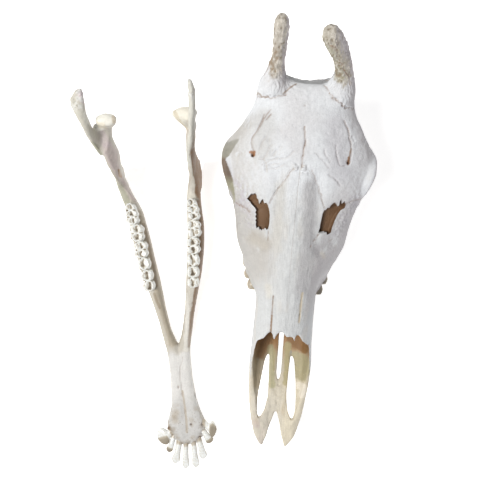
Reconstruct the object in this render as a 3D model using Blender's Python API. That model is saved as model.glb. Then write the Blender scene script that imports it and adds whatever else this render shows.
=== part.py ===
"""A giraffe's skull, cranium and lower jaw, life size, lying as the two rest on a table.

Metres, +Z up. The cranium and the jaw are each modelled in a frame of their own: x to the
animal's left, y from the front tip backwards, z up from the tooth plane (cranium) or from the
table (jaw). Two empties then lay them side by side. The bones of the cranium are cut apart
along their sutures, and the teeth are joined to the bone that they grow from.
"""

import math
import random

import bmesh
import bpy
import numpy as np
from mathutils import Matrix, Vector

# How the two halves of the skull lie
CRANIUM_TIP = (0.0227, -0.3591)
CRANIUM_YAW = math.radians(4.55)
CRANIUM_PITCH = math.radians(7.0)
CRANIUM_PIVOT = 0.405
JAW_FRONT = (-0.1301, -0.3678)
JAW_YAW = math.radians(-4.41)
CENTRE = (-0.0459, -0.0602)
FLOOR_TRIM = 0.0010

# Fit and fineness
GAP = 0.0003
VOXEL = 0.0030
JAW_VOXEL = 0.0026
CRANIUM_FACES = 6200
JAW_FACES = 1120
FAR = 0.500
RING_POINTS = 40
RING_STEP = 0.012
JAW_RINGS = 56
RAMUS_RINGS = 16
JAW_RING_POINTS = 24
CAVITY_RINGS = 17
CAVITY_POINTS = 16
BLUNTNESS = 0.75
SHARP_ANGLE = math.radians(40)
CRANIUM_SEED = 4
JAW_SEED = 9

# Cross-sections of the cranium: distance from the tip, then the outline of its left half as
# (x, z), from the middle of the roof down the flank to the middle of the palate
SECTIONS = (
    (-0.002, (0.000, 0.010), (0.012, 0.011), (0.021, 0.011), (0.028, 0.010), (0.030, 0.008),
     (0.028, 0.005), (0.021, 0.004), (0.012, 0.004), (0.000, 0.005)),
    (0.020, (0.000, 0.013), (0.015, 0.014), (0.027, 0.014), (0.035, 0.013), (0.038, 0.010),
     (0.035, 0.006), (0.027, 0.004), (0.014, 0.004), (0.000, 0.005)),
    (0.060, (0.000, 0.028), (0.020, 0.029), (0.037, 0.029), (0.044, 0.025), (0.0465, 0.018),
     (0.044, 0.012), (0.036, 0.008), (0.020, 0.008), (0.000, 0.008)),
    (0.100, (0.000, 0.048), (0.022, 0.048), (0.040, 0.046), (0.048, 0.039), (0.0512, 0.028),
     (0.049, 0.018), (0.041, 0.011), (0.022, 0.010), (0.000, 0.010)),
    (0.150, (0.000, 0.086), (0.024, 0.085), (0.040, 0.078), (0.0495, 0.062), (0.0528, 0.042),
     (0.050, 0.024), (0.041, 0.013), (0.022, 0.012), (0.000, 0.012)),
    (0.183, (0.000, 0.101), (0.015, 0.100), (0.030, 0.094), (0.0435, 0.077), (0.0510, 0.050),
     (0.050, 0.027), (0.041, 0.014), (0.022, 0.013), (0.000, 0.013)),
    (0.250, (0.000, 0.121), (0.019, 0.119), (0.034, 0.111), (0.045, 0.092), (0.0500, 0.062),
     (0.049, 0.034), (0.046, 0.017), (0.024, 0.015), (0.000, 0.015)),
    (0.280, (0.000, 0.128), (0.021, 0.126), (0.037, 0.117), (0.047, 0.098), (0.0520, 0.068),
     (0.055, 0.042), (0.062, 0.019), (0.030, 0.016), (0.000, 0.017)),
    (0.305, (0.000, 0.135), (0.025, 0.132), (0.042, 0.122), (0.054, 0.103), (0.0655, 0.074),
     (0.070, 0.044), (0.074, 0.020), (0.036, 0.017), (0.000, 0.018)),
    (0.327, (0.000, 0.142), (0.029, 0.138), (0.047, 0.127), (0.064, 0.107), (0.0800, 0.080),
     (0.080, 0.048), (0.078, 0.020), (0.038, 0.017), (0.000, 0.018)),
    (0.350, (0.000, 0.151), (0.033, 0.147), (0.052, 0.136), (0.074, 0.116), (0.0905, 0.089),
     (0.086, 0.054), (0.080, 0.021), (0.038, 0.018), (0.000, 0.019)),
    (0.375, (0.000, 0.162), (0.036, 0.158), (0.058, 0.148), (0.081, 0.130), (0.0935, 0.101),
     (0.089, 0.064), (0.080, 0.024), (0.038, 0.019), (0.000, 0.022)),
    (0.405, (0.000, 0.177), (0.041, 0.173), (0.066, 0.164), (0.090, 0.148), (0.1010, 0.121),
     (0.095, 0.084), (0.078, 0.028), (0.038, 0.022), (0.000, 0.030)),
    (0.440, (0.000, 0.196), (0.045, 0.192), (0.078, 0.182), (0.101, 0.168), (0.1120, 0.142),
     (0.107, 0.106), (0.062, 0.078), (0.030, 0.042), (0.000, 0.060)),
    (0.468, (0.000, 0.209), (0.047, 0.205), (0.084, 0.192), (0.109, 0.178), (0.1170, 0.156),
     (0.111, 0.112), (0.060, 0.086), (0.032, 0.056), (0.000, 0.070)),
    (0.500, (0.000, 0.219), (0.047, 0.215), (0.084, 0.203), (0.099, 0.192), (0.1020, 0.176),
     (0.070, 0.142), (0.052, 0.098), (0.034, 0.070), (0.000, 0.070)),
    (0.540, (0.000, 0.229), (0.042, 0.226), (0.068, 0.214), (0.078, 0.202), (0.0750, 0.184),
     (0.057, 0.150), (0.054, 0.106), (0.036, 0.070), (0.000, 0.066)),
    (0.566, (0.000, 0.231), (0.036, 0.231), (0.062, 0.226), (0.073, 0.210), (0.0710, 0.186),
     (0.058, 0.150), (0.056, 0.106), (0.038, 0.068), (0.000, 0.064)),
    (0.580, (0.000, 0.208), (0.030, 0.219), (0.056, 0.227), (0.069, 0.212), (0.0690, 0.186),
     (0.062, 0.147), (0.057, 0.104), (0.037, 0.070), (0.000, 0.064)),
    (0.592, (0.000, 0.180), (0.026, 0.190), (0.048, 0.208), (0.060, 0.200), (0.0640, 0.180),
     (0.060, 0.142), (0.053, 0.106), (0.032, 0.078), (0.000, 0.070)),
    (0.600, (0.000, 0.150), (0.022, 0.158), (0.036, 0.166), (0.046, 0.164), (0.0500, 0.152),
     (0.048, 0.130), (0.040, 0.108), (0.026, 0.092), (0.000, 0.086)),
)

# The rim of the orbit, a ring of bone: its centre, its radii along y and z, its thickness, how
# much its front and back turn in, and the hollow of the eye socket
ORBIT = (0.1155, 0.464, 0.139)
ORBIT_RADII = (0.037, 0.034)
ORBIT_RIM = 0.0065
ORBIT_BOW = 0.0110
ORBIT_HOLLOW = ((0.1295, 0.464, 0.139), (0.050, 0.0325, 0.0300))

# Bars and bosses of the cranium's left side: points on the bar's axis with its radius there
ZYGOMATIC_ARCH = (
    (0.098, 0.416, 0.106, 0.0105), (0.107, 0.446, 0.100, 0.0090), (0.108, 0.478, 0.099, 0.0080),
    (0.099, 0.506, 0.098, 0.0078), (0.084, 0.531, 0.096, 0.0080), (0.068, 0.552, 0.096, 0.0090),
    (0.054, 0.564, 0.100, 0.0100))
POSTORBITAL_BAR = (
    (0.096, 0.494, 0.184, 0.0090), (0.103, 0.497, 0.160, 0.0070), (0.106, 0.497, 0.130, 0.0065),
    (0.105, 0.492, 0.104, 0.0070))
PAROCCIPITAL = (
    (0.050, 0.578, 0.096, 0.0130), (0.051, 0.581, 0.060, 0.0098), (0.050, 0.583, 0.036, 0.0075),
    (0.049, 0.584, 0.0215, 0.0060))
NUCHAL_CREST = (
    (0.000, 0.577, 0.196, 0.0070), (0.034, 0.584, 0.194, 0.0070), (0.056, 0.587, 0.166, 0.0070),
    (0.062, 0.583, 0.130, 0.0070), (0.062, 0.576, 0.100, 0.0080))
PTERYGOID = (
    (0.030, 0.408, 0.036, 0.0045, 0.0120), (0.029, 0.428, 0.034, 0.0040, 0.0120),
    (0.028, 0.448, 0.046, 0.0040, 0.0120), (0.024, 0.474, 0.066, 0.0060, 0.0100))
CONDYLE = ((0.023, 0.600, 0.088), (0.017, 0.016, 0.021))
BULLA = ((0.035, 0.553, 0.060), (0.013, 0.021, 0.014))

# Hollows of the cranium. The nasal cavity as (y, half width, floor, ceiling), its half outline in
# shares of the half width and of the half height from its middle, and the line in side view, as
# (y, z), along which the nose opens in front of the nasal bones
NASAL_CAVITY = (
    (-0.020, 0.030, 0.0150, 0.080), (0.030, 0.028, 0.0155, 0.080), (0.060, 0.038, 0.0200, 0.100),
    (0.100, 0.0440, 0.0220, 0.120), (0.150, 0.0462, 0.0230, 0.130), (0.186, 0.0445, 0.0240, 0.0950),
    (0.250, 0.0425, 0.0260, 0.1150), (0.310, 0.0480, 0.0300, 0.1300), (0.350, 0.0640, 0.0380, 0.1440),
    (0.385, 0.0740, 0.0540, 0.1600), (0.418, 0.0680, 0.0860, 0.1680))
CAVITY_OUTLINE = ((0.0, 1.0), (0.62, 0.88), (0.95, 0.35), (1.0, -0.30), (0.86, -0.88), (0.40, -1.0))
NOSE_OPENING = (
    (-0.030, 0.022), (0.040, 0.022), (0.075, 0.031), (0.110, 0.041), (0.150, 0.060),
    (0.166, 0.077), (0.174, 0.110), (0.174, 0.200), (-0.030, 0.200))
# The front edge of the nasal bones and of the walls beside them in plan, from right to left
NOSE_FRONT = (
    (-0.0510, 0.1200), (-0.0470, 0.1450), (-0.0430, 0.1630), (-0.0365, 0.1780), (-0.0285, 0.1925),
    (-0.0214, 0.2005), (-0.0195, 0.1960), (-0.0160, 0.1825), (-0.0110, 0.1960), (-0.0042, 0.2012),
    (0.0010, 0.1960), (0.0035, 0.1915), (0.0140, 0.1935), (0.0175, 0.1838), (0.0195, 0.1960),
    (0.0214, 0.2010), (0.0300, 0.1880), (0.0385, 0.1715), (0.0445, 0.1590), (0.0475, 0.1400),
    (0.0510, 0.1200), (0.0510, -0.0300), (-0.0510, -0.0300))
NOSE_FRONT_HEIGHTS = (0.062, 0.200)
PALATINE_FISSURE = (
    (0.029, 0.043), (0.033, 0.058), (0.0335, 0.085), (0.030, 0.118), (0.026, 0.146),
    (0.0185, 0.168), (0.0180, 0.146), (0.0165, 0.110), (0.0160, 0.085), (0.020, 0.062))
MIDDLE_GAP = ((0.000, 0.107), (0.0034, 0.124), (0.0038, 0.155), (0.0036, 0.195), (0.000, 0.230))
TOE_NOTCH = ((0.000, 0.0655), (0.0035, 0.052), (0.0085, 0.036), (0.0125, 0.018), (0.0180, 0.002),
             (0.0190, -0.020), (0.000, -0.020))
TOE_CORNER = ((0.0205, -0.003), (0.0300, 0.009), (0.0375, 0.021), (0.0420, 0.034), (0.060, 0.034),
              (0.060, -0.020), (0.0205, -0.020))
VACUITY = (
    (0.0415, 0.362), (0.0400, 0.379), (0.0435, 0.395), (0.0485, 0.3965), (0.0535, 0.3985),
    (0.0650, 0.4085), (0.0760, 0.4000), (0.0655, 0.3900), (0.0620, 0.3790), (0.0585, 0.3600),
    (0.0500, 0.3580))
PALATE_HEIGHTS = (-0.020, 0.034)
TOE_HEIGHTS = (-0.020, 0.060)
VACUITY_HEIGHTS = (0.100, 0.300)
FORAMEN_MAGNUM = ((0.000, 0.625, 0.108), 0.0165, 0.075)
FORAMEN_TAPER = 0.8
SUPRAORBITAL_HOLE = ((0.072, 0.463, 0.196), 0.0030, 0.040)

# Sutures. The nasal bones in plan, and the planes behind the maxillae and the premaxillae as
# two points (y, z) in side view
NASAL_OUTLINE = (
    (0.0000, 0.4480), (0.0140, 0.4455), (0.0425, 0.3955), (0.0390, 0.3580), (0.0365, 0.3430),
    (0.0225, 0.2620), (0.0205, 0.2270), (0.0202, 0.1700), (0.0000, 0.1700))
NASAL_DEPTH = 0.022
MAXILLA_BACK = ((0.352, 0.160), (0.430, 0.010))
PREMAXILLA_BACK = ((0.150, 0.090), (0.112, 0.000))

# Ossicones: points on the axis with the half width across and from front to back, for the
# animal's left, which leans in, and its right, which stands up
OSSICONE_STEMS = {
    "left": (
        (0.0510, 0.5600, 0.205, 0.0230, 0.0230), (0.0510, 0.5640, 0.220, 0.0225, 0.0240),
        (0.0508, 0.5720, 0.236, 0.0180, 0.0190), (0.0495, 0.5800, 0.252, 0.0135, 0.0150),
        (0.0455, 0.5850, 0.268, 0.0125, 0.0145), (0.0385, 0.5890, 0.286, 0.0128, 0.0150),
        (0.0265, 0.5910, 0.314, 0.0134, 0.0160), (0.0190, 0.5920, 0.330, 0.0126, 0.0150),
        (0.0150, 0.5925, 0.340, 0.0085, 0.0100)),
    "right": (
        (-0.0490, 0.5580, 0.205, 0.0240, 0.0240), (-0.0490, 0.5630, 0.220, 0.0230, 0.0240),
        (-0.0480, 0.5730, 0.236, 0.0165, 0.0190), (-0.0465, 0.5830, 0.254, 0.0115, 0.0150),
        (-0.0450, 0.5900, 0.280, 0.0100, 0.0140), (-0.0450, 0.5945, 0.305, 0.0102, 0.0140),
        (-0.0450, 0.5978, 0.328, 0.0106, 0.0135), (-0.0452, 0.5995, 0.341, 0.0092, 0.0115),
        (-0.0452, 0.6003, 0.347, 0.0060, 0.0070))}
# The suture round the foot of the left ossicone in plan, the wider line that holds its stem, and
# for a height the size of the foot's line about its middle and the share of the way to the other
OSSICONE_FOOT = (
    (0.0330, 0.5560), (0.0375, 0.5525), (0.0440, 0.5445), (0.0550, 0.5385), (0.0670, 0.5395),
    (0.0760, 0.5470), (0.0860, 0.5600), (0.0860, 0.5900), (0.0640, 0.6000), (0.0420, 0.6000),
    (0.0280, 0.5900), (0.0230, 0.5700))
OSSICONE_HEAD = (
    (0.0006, 0.5600), (0.0100, 0.5450), (0.0300, 0.5400), (0.0550, 0.5380), (0.0720, 0.5400),
    (0.0860, 0.5470), (0.0960, 0.5600), (0.0960, 0.6100), (0.0640, 0.6400), (0.0420, 0.6400),
    (0.0100, 0.6250), (0.0006, 0.6000))
OSSICONE_LEVELS = ((0.190, 0.70, 0.0), (0.200, 0.96, 0.0), (0.212, 1.0, 0.0), (0.240, 1.0, 0.0),
                   (0.262, 1.0, 1.0), (0.400, 1.0, 1.0))

# Cross-sections of the jaw's left half: distance from the front, inner and outer side at the top,
# inner and outer side at the bottom, lower and upper border
JAW_SECTIONS = (
    (-0.0070, -0.004, 0.0080, -0.004, 0.0080, 0.012, 0.017),
    (-0.0020, -0.004, 0.0160, -0.004, 0.0160, 0.008, 0.018),
    (0.0060, -0.004, 0.0245, -0.004, 0.0245, 0.005, 0.020),
    (0.0180, -0.004, 0.0315, -0.004, 0.0315, 0.003, 0.021),
    (0.0340, -0.004, 0.0354, -0.004, 0.0350, 0.001, 0.022),
    (0.0500, -0.004, 0.0304, -0.004, 0.0298, 0.000, 0.022),
    (0.0660, -0.004, 0.0258, -0.004, 0.0250, 0.000, 0.022),
    (0.0980, -0.004, 0.0218, -0.004, 0.0208, 0.000, 0.024),
    (0.1400, -0.004, 0.0206, -0.004, 0.0198, 0.001, 0.026),
    (0.1700, -0.002, 0.0220, -0.002, 0.0210, 0.002, 0.027),
    (0.2000, 0.0085, 0.0276, 0.0085, 0.0266, 0.003, 0.029),
    (0.2300, 0.0145, 0.0330, 0.0150, 0.0320, 0.004, 0.033),
    (0.2620, 0.0190, 0.0405, 0.0200, 0.0395, 0.006, 0.041),
    (0.2970, 0.0230, 0.0500, 0.0240, 0.0485, 0.010, 0.051),
    (0.3350, 0.0280, 0.0590, 0.0295, 0.0565, 0.014, 0.057),
    (0.3800, 0.0330, 0.0645, 0.0355, 0.0615, 0.019, 0.062),
    (0.4290, 0.0385, 0.0670, 0.0440, 0.0630, 0.018, 0.068),
    (0.4620, 0.0460, 0.0690, 0.0530, 0.0640, 0.010, 0.080),
    (0.4900, 0.0540, 0.0690, 0.0580, 0.0645, 0.001, 0.098),
    (0.5100, 0.0580, 0.0685, 0.0590, 0.0640, 0.012, 0.118),
)
# The rising branch: height, front and back edge, middle of its thickness, half its thickness
RAMUS_SECTIONS = (
    (0.004, 0.460, 0.486, 0.0612, 0.0034), (0.016, 0.450, 0.498, 0.0618, 0.0044),
    (0.035, 0.447, 0.506, 0.0622, 0.0050), (0.060, 0.450, 0.512, 0.0625, 0.0056),
    (0.090, 0.466, 0.521, 0.0620, 0.0062),
    (0.120, 0.484, 0.532, 0.0620, 0.0066), (0.145, 0.502, 0.544, 0.0632, 0.0070),
    (0.158, 0.512, 0.550, 0.0636, 0.0070))
CORONOID = {
    "left": (
        (0.0690, 0.520, 0.145, 0.0050, 0.0130), (0.0700, 0.530, 0.165, 0.0050, 0.0115),
        (0.0710, 0.545, 0.190, 0.0056, 0.0098), (0.0745, 0.566, 0.212, 0.0058, 0.0085),
        (0.0765, 0.582, 0.227, 0.0052, 0.0075), (0.0755, 0.593, 0.234, 0.0036, 0.0045)),
    "right": (
        (0.0730, 0.518, 0.145, 0.0045, 0.0130), (0.0805, 0.530, 0.165, 0.0050, 0.0115),
        (0.0870, 0.546, 0.190, 0.0060, 0.0098), (0.0895, 0.562, 0.208, 0.0085, 0.0085),
        (0.0890, 0.574, 0.222, 0.0115, 0.0065), (0.0845, 0.583, 0.230, 0.0085, 0.0050),
        (0.0795, 0.591, 0.234, 0.0035, 0.0035))}
# The bone that fills the notch between the two processes
NOTCH_WEB = {
    "left": ((0.0700, 0.538, 0.150, 0.0050, 0.0100), (0.0650, 0.546, 0.152, 0.0050, 0.0100)),
    "right": ((0.0840, 0.545, 0.166, 0.0050, 0.0100), (0.0760, 0.550, 0.160, 0.0050, 0.0110),
              (0.0680, 0.553, 0.164, 0.0060, 0.0100))}
CONDYLE_NECK = {
    "left": ((0.0670, 0.543, 0.140, 0.0075, 0.0085), (0.0610, 0.550, 0.160, 0.0125, 0.0085),
             (0.0575, 0.556, 0.177, 0.0190, 0.0090)),
    "right": ((0.0700, 0.543, 0.140, 0.0085, 0.0085), (0.0670, 0.550, 0.160, 0.0105, 0.0085),
              (0.0610, 0.556, 0.177, 0.0160, 0.0090))}
JAW_CONDYLE = {"left": ((0.0590, 0.557, 0.182), (0.0215, 0.0105, 0.0070)),
               "right": ((0.0605, 0.556, 0.182), (0.0178, 0.0110, 0.0070))}
# How far the rear of each half of the jaw leans out, by height, and how the whole jaw bends
# sideways, by distance from the front
LEAN_HEIGHTS = (0.0, 0.030, 0.100, 0.125, 0.160, 0.230)
LEAN = {"left": (0.0050, 0.0050, 0.0005, 0.0020, 0.0020, 0.0),
        "right": (0.0115, 0.0115, 0.0, 0.0010, 0.0040, 0.0080)}
LEAN_FROM = (0.430, 0.490)
JAW_BEND = (
    (-0.045, 0.0020), (0.000, 0.0010), (0.034, -0.0020), (0.066, -0.0026), (0.098, -0.0036),
    (0.140, -0.0046), (0.170, -0.0050), (0.210, -0.0050), (0.265, -0.0035), (0.300, -0.0025),
    (0.340, -0.0025), (0.390, -0.0025), (0.420, -0.0050), (0.450, -0.0085), (0.500, -0.0085),
    (0.525, -0.0045), (0.550, 0.0), (0.600, 0.0))

# Cheek teeth: middle (x, y), width across, length along the row, lobes, and the crown's height
UPPER_TEETH = (
    ((0.0580, 0.2765), 0.0190, 0.0195, 1, 0.0150), ((0.0640, 0.2960), 0.0225, 0.0205, 1, 0.0150),
    ((0.0665, 0.3165), 0.0250, 0.0210, 1, 0.0155), ((0.0675, 0.3405), 0.0265, 0.0275, 2, 0.0160),
    ((0.0675, 0.3690), 0.0275, 0.0295, 2, 0.0165), ((0.0660, 0.3980), 0.0260, 0.0285, 2, 0.0170))
LOWER_TEETH = (
    ((0.0385, 0.2920), 0.0205, 0.0180, 1, 0.0130), ((0.0402, 0.3105), 0.0215, 0.0198, 1, 0.0140),
    ((0.0425, 0.3310), 0.0220, 0.0218, 1, 0.0150), ((0.0452, 0.3560), 0.0225, 0.0285, 2, 0.0160),
    ((0.0492, 0.3850), 0.0230, 0.0295, 2, 0.0165), ((0.0525, 0.4180), 0.0210, 0.0375, 3, 0.0165))
TOOTH_ROOT = 0.0050
TOOTH_VARIATION = 0.03
TOOTH_WAIST = 0.14
TOOTH_SIDES = 6
LOBE_SIDES = 4
# For a height as a share of the crown: the size of the outline and the height of the cusps
TOOTH_LEVELS = ((0.0, 0.86, 0.0), (0.55, 1.00, 0.0), (0.97, 0.90, 0.0012), (0.76, 0.36, 0.0))
UPPER_GUM = 0.0175
# Front teeth of the jaw: root (x, y), tip (x, y), half width of the crown, half its thickness
INCISORS = (
    ((0.0050, 0.008), (0.0094, -0.0420), 0.0056, 0.0038),
    ((0.0140, 0.012), (0.0266, -0.0290), 0.0058, 0.0038),
    ((0.0210, 0.019), (0.0370, -0.0040), 0.0062, 0.0038),
    ((0.0250, 0.031), (0.0490, 0.0120), 0.0110, 0.0044))
INCISOR_HEIGHT = (0.0130, 0.0170)
# Share of the way from root to tip, and the shares of the crown's width and thickness there
INCISOR_SHAPE = ((0.0, 0.55, 0.90), (0.45, 0.60, 0.90), (0.68, 0.80, 1.00), (0.88, 1.00, 0.95),
                 (0.97, 0.85, 0.60), (1.0, 0.45, 0.30))

BONE = {"colour": (0.80, 0.78, 0.74), "roughness": 0.62}
JAW_BONE = {"colour": (0.76, 0.71, 0.62), "roughness": 0.60}
HORN_BONE = {"colour": (0.62, 0.60, 0.54), "roughness": 0.80}


def material(name, colour, roughness):
    """One dry bone finish."""
    made = bpy.data.materials.new(name)
    made.use_nodes = True
    shader = made.node_tree.nodes["Principled BSDF"]
    shader.inputs["Base Color"].default_value = (*colour, 1.0)
    shader.inputs["Roughness"].default_value = roughness
    shader.inputs["Metallic"].default_value = 0.0
    return made


def curve_through(keys, values, wanted):
    """Read a smooth curve through values at rising keys, at each wanted key."""
    keys = np.asarray(keys, float)
    values = np.asarray(values, float)
    wanted = np.asarray(wanted, float)
    slopes = np.gradient(values, keys, axis=0)
    low = np.clip(np.searchsorted(keys, wanted, side="right") - 1, 0, len(keys) - 2)
    span = (keys[low + 1] - keys[low])[:, None]
    t = ((wanted - keys[low]) / span[:, 0])[:, None]
    start, end = values[low], values[low + 1]
    rise = slopes[low] * span
    fall = slopes[low + 1] * span
    return ((2 * t**3 - 3 * t**2 + 1) * start + (t**3 - 2 * t**2 + t) * rise
            + (3 * t**2 - 2 * t**3) * end + (t**3 - t**2) * fall)


def closed_outline(points, count):
    """A smooth closed outline of count points through the given ones."""
    loop = np.asarray(points, float)
    wrapped = np.concatenate((loop[-3:], loop, loop[:4]))
    steps = np.linalg.norm(np.diff(wrapped, axis=0), axis=1)
    keys = np.concatenate(((0.0,), np.cumsum(np.maximum(steps, 1e-6))))
    start, end = keys[3], keys[3 + len(loop)]
    wanted = start + (end - start) * np.arange(count) / count
    return curve_through(keys, wrapped, wanted)


def turns(count):
    """Evenly spaced angles of a whole turn."""
    return [2 * math.pi * corner / count for corner in range(count)]


def blunt(value):
    """A sine or cosine made squarer, for an outline between an oval and a box."""
    return math.copysign(abs(value) ** BLUNTNESS, value)


def tube_of_rings(rings):
    """A closed mesh through rings of equally many points: a circle extruded ring by ring."""
    form = bmesh.new()
    first = bmesh.ops.create_circle(form, segments=len(rings[0]), radius=1.0)["verts"]
    for vert, place in zip(first, rings[0]):
        vert.co = place
    edges = list(form.edges)
    bmesh.ops.contextual_create(form, geom=edges)
    current = first
    for ring in rings[1:]:
        grown = bmesh.ops.extrude_edge_only(form, edges=edges)["geom"]
        edges = [item for item in grown if isinstance(item, bmesh.types.BMEdge)
                 and not any(vert in current for vert in item.verts)]
        pairs = {}
        for item in grown:
            if isinstance(item, bmesh.types.BMVert):
                twin = next(edge.other_vert(item) for edge in item.link_edges
                            if edge.other_vert(item) in current)
                pairs[twin] = item
        current = [pairs[vert] for vert in current]
        for vert, place in zip(current, ring):
            vert.co = place
    bmesh.ops.contextual_create(form, geom=edges)
    bmesh.ops.recalc_face_normals(form, faces=form.faces)
    mesh = bpy.data.meshes.new("form")
    form.to_mesh(mesh)
    form.free()
    return mesh


def lofted_sections(sections, step=RING_STEP, points=RING_POINTS):
    """A closed form along y through half outlines, mirrored to whole ones."""
    keys = [section[0] for section in sections]
    halves = np.array([section[1:] for section in sections])
    count = max(2, round((keys[-1] - keys[0]) / step))
    places = np.linspace(keys[0], keys[-1], count + 1)
    flat = curve_through(keys, halves.reshape(len(sections), -1), places)
    rings = []
    for place, row in zip(places, flat):
        half = row.reshape(-1, 2)
        other = half[-2:0:-1] * (-1.0, 1.0)
        outline = closed_outline(np.concatenate((half, other)), points)
        rings.append([(x, place, z) for x, z in outline])
    return tube_of_rings(rings)


def bar(points, sides=12, steps=6, side_axis=(1.0, 0.0, 0.0)):
    """A rounded bar along points of (x, y, z, radius) or (x, y, z, half width, half depth)."""
    table = np.array([tuple(point) + (point[3],) if len(point) == 4 else point for point in points])
    chord = np.linalg.norm(np.diff(table[:, :3], axis=0), axis=1)
    keys = np.concatenate(((0.0,), np.cumsum(chord)))
    wanted = np.linspace(0.0, keys[-1], steps * (len(points) - 1) + 1)
    rows = curve_through(keys, table, wanted)
    rings = []
    for index, row in enumerate(rows):
        before = rows[max(index - 1, 0)][:3]
        after = rows[min(index + 1, len(rows) - 1)][:3]
        along = Vector(after - before).normalized()
        across = Vector(side_axis)
        across = (across - across.dot(along) * along).normalized()
        depth = along.cross(across)
        centre = Vector(row[:3])
        ring = []
        for angle in turns(sides):
            ring.append(centre + across * (row[3] * math.cos(angle)) + depth * (row[4] * math.sin(angle)))
        rings.append(ring)
    return tube_of_rings(rings)


def ellipsoid(centre, radii, segments=20):
    """A round boss or hollow."""
    form = bmesh.new()
    bmesh.ops.create_uvsphere(form, u_segments=segments, v_segments=segments // 2, radius=1.0)
    bmesh.ops.scale(form, vec=radii, verts=form.verts)
    bmesh.ops.translate(form, vec=centre, verts=form.verts)
    mesh = bpy.data.meshes.new("form")
    form.to_mesh(mesh)
    form.free()
    return mesh


def ring_of_bone(centre, radii, thickness, bow, sides=10, steps=28):
    """The rim of an orbit: a ring in the y-z plane whose front and back turn in."""
    form = bmesh.new()
    loops = []
    for step in range(steps):
        turn = 2 * math.pi * step / steps
        middle = Vector((centre[0] - bow * math.cos(turn) ** 2, centre[1] + radii[0] * math.cos(turn),
                         centre[2] + radii[1] * math.sin(turn)))
        out = Vector((0.0, math.cos(turn), math.sin(turn)))
        loop = []
        for side in range(sides):
            angle = 2 * math.pi * side / sides
            offset = Vector((thickness * math.cos(angle), 0.0, 0.0)) + out * (thickness * math.sin(angle))
            loop.append(form.verts.new(middle + offset))
        loops.append(loop)
    for step in range(steps):
        here, there = loops[step], loops[(step + 1) % steps]
        for side in range(sides):
            after = (side + 1) % sides
            form.faces.new((here[side], here[after], there[after], there[side]))
    bmesh.ops.recalc_face_normals(form, faces=form.faces)
    mesh = bpy.data.meshes.new("form")
    form.to_mesh(mesh)
    form.free()
    return mesh


def prism(outline, low, high, axis="z"):
    """A closed prism over an outline, in plan (x, y) along z, or in side view (y, z) along x."""
    form = bmesh.new()
    if axis == "z":
        verts = [form.verts.new((a, b, low)) for a, b in outline]
        lift = Vector((0.0, 0.0, high - low))
    else:
        verts = [form.verts.new((low, a, b)) for a, b in outline]
        lift = Vector((high - low, 0.0, 0.0))
    face = form.faces.new(verts)
    grown = bmesh.ops.extrude_face_region(form, geom=[face])["geom"]
    moved = [item for item in grown if isinstance(item, bmesh.types.BMVert)]
    bmesh.ops.translate(form, vec=lift, verts=moved)
    bmesh.ops.recalc_face_normals(form, faces=form.faces)
    mesh = bpy.data.meshes.new("form")
    form.to_mesh(mesh)
    form.free()
    return mesh


def mirrored(mesh):
    """The same form on the other side of the middle plane."""
    form = bmesh.new()
    form.from_mesh(mesh)
    bmesh.ops.scale(form, vec=(-1.0, 1.0, 1.0), verts=form.verts)
    bmesh.ops.reverse_faces(form, faces=form.faces)
    other = bpy.data.meshes.new("form")
    form.to_mesh(other)
    form.free()
    return other


def grown(mesh, distance):
    """The same form with every face moved outwards."""
    form = bmesh.new()
    form.from_mesh(mesh)
    form.normal_update()
    moves = [(vert, vert.normal * (vert.calc_shell_factor() * distance)) for vert in form.verts]
    for vert, move in moves:
        vert.co += move
    other = bpy.data.meshes.new("form")
    form.to_mesh(other)
    form.free()
    return other


def gathered(meshes):
    """Several meshes as one, not yet fused."""
    form = bmesh.new()
    for mesh in meshes:
        form.from_mesh(mesh)
    whole = bpy.data.meshes.new("form")
    form.to_mesh(whole)
    form.free()
    return whole


def in_scene(mesh, name="form"):
    """An object that shows a mesh."""
    made = bpy.data.objects.new(name, mesh)
    bpy.context.scene.collection.objects.link(made)
    return made


def evaluated(made):
    """The mesh that an object's modifiers give."""
    bpy.context.view_layer.update()
    graph = bpy.context.evaluated_depsgraph_get()
    mesh = bpy.data.meshes.new_from_object(made.evaluated_get(graph))
    made.modifiers.clear()
    return mesh


def largest_body(mesh):
    """Keep the largest closed surface, and make the faces triangles."""
    form = bmesh.new()
    form.from_mesh(mesh)
    bmesh.ops.triangulate(form, faces=form.faces)
    left = set(form.verts)
    bodies = []
    while left:
        stack = [left.pop()]
        body = list(stack)
        while stack:
            for edge in stack.pop().link_edges:
                for vert in edge.verts:
                    if vert in left:
                        left.discard(vert)
                        stack.append(vert)
                        body.append(vert)
        bodies.append(body)
    bodies.sort(key=len)
    scraps = [vert for body in bodies[:-1] for vert in body]
    bmesh.ops.delete(form, geom=scraps, context="VERTS")
    kept = bpy.data.meshes.new("form")
    form.to_mesh(kept)
    form.free()
    return kept


def fused(meshes, voxel, faces, smoothing=4):
    """Forms melted into one skin, smoothed and thinned to a number of triangles."""
    made = in_scene(gathered(meshes))
    remesh = made.modifiers.new("melt", "REMESH")
    remesh.mode = "VOXEL"
    remesh.voxel_size = voxel
    smooth = made.modifiers.new("smooth", "SMOOTH")
    smooth.factor = 0.5
    smooth.iterations = smoothing
    skin = evaluated(made)
    made.data = largest_body(skin)
    thin = made.modifiers.new("thin", "DECIMATE")
    thin.ratio = min(1.0, faces / len(made.data.polygons))
    skin = largest_body(evaluated(made))
    bpy.data.objects.remove(made)
    return skin


def combined(mesh, other, operation, solver="EXACT"):
    """One mesh cut by, cut to or joined with another."""
    made = in_scene(mesh)
    tool = in_scene(other)
    cut = made.modifiers.new("cut", "BOOLEAN")
    cut.operation = operation
    cut.object = tool
    cut.solver = solver
    result = largest_body(evaluated(made))
    bpy.data.objects.remove(made)
    bpy.data.objects.remove(tool)
    return result


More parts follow.
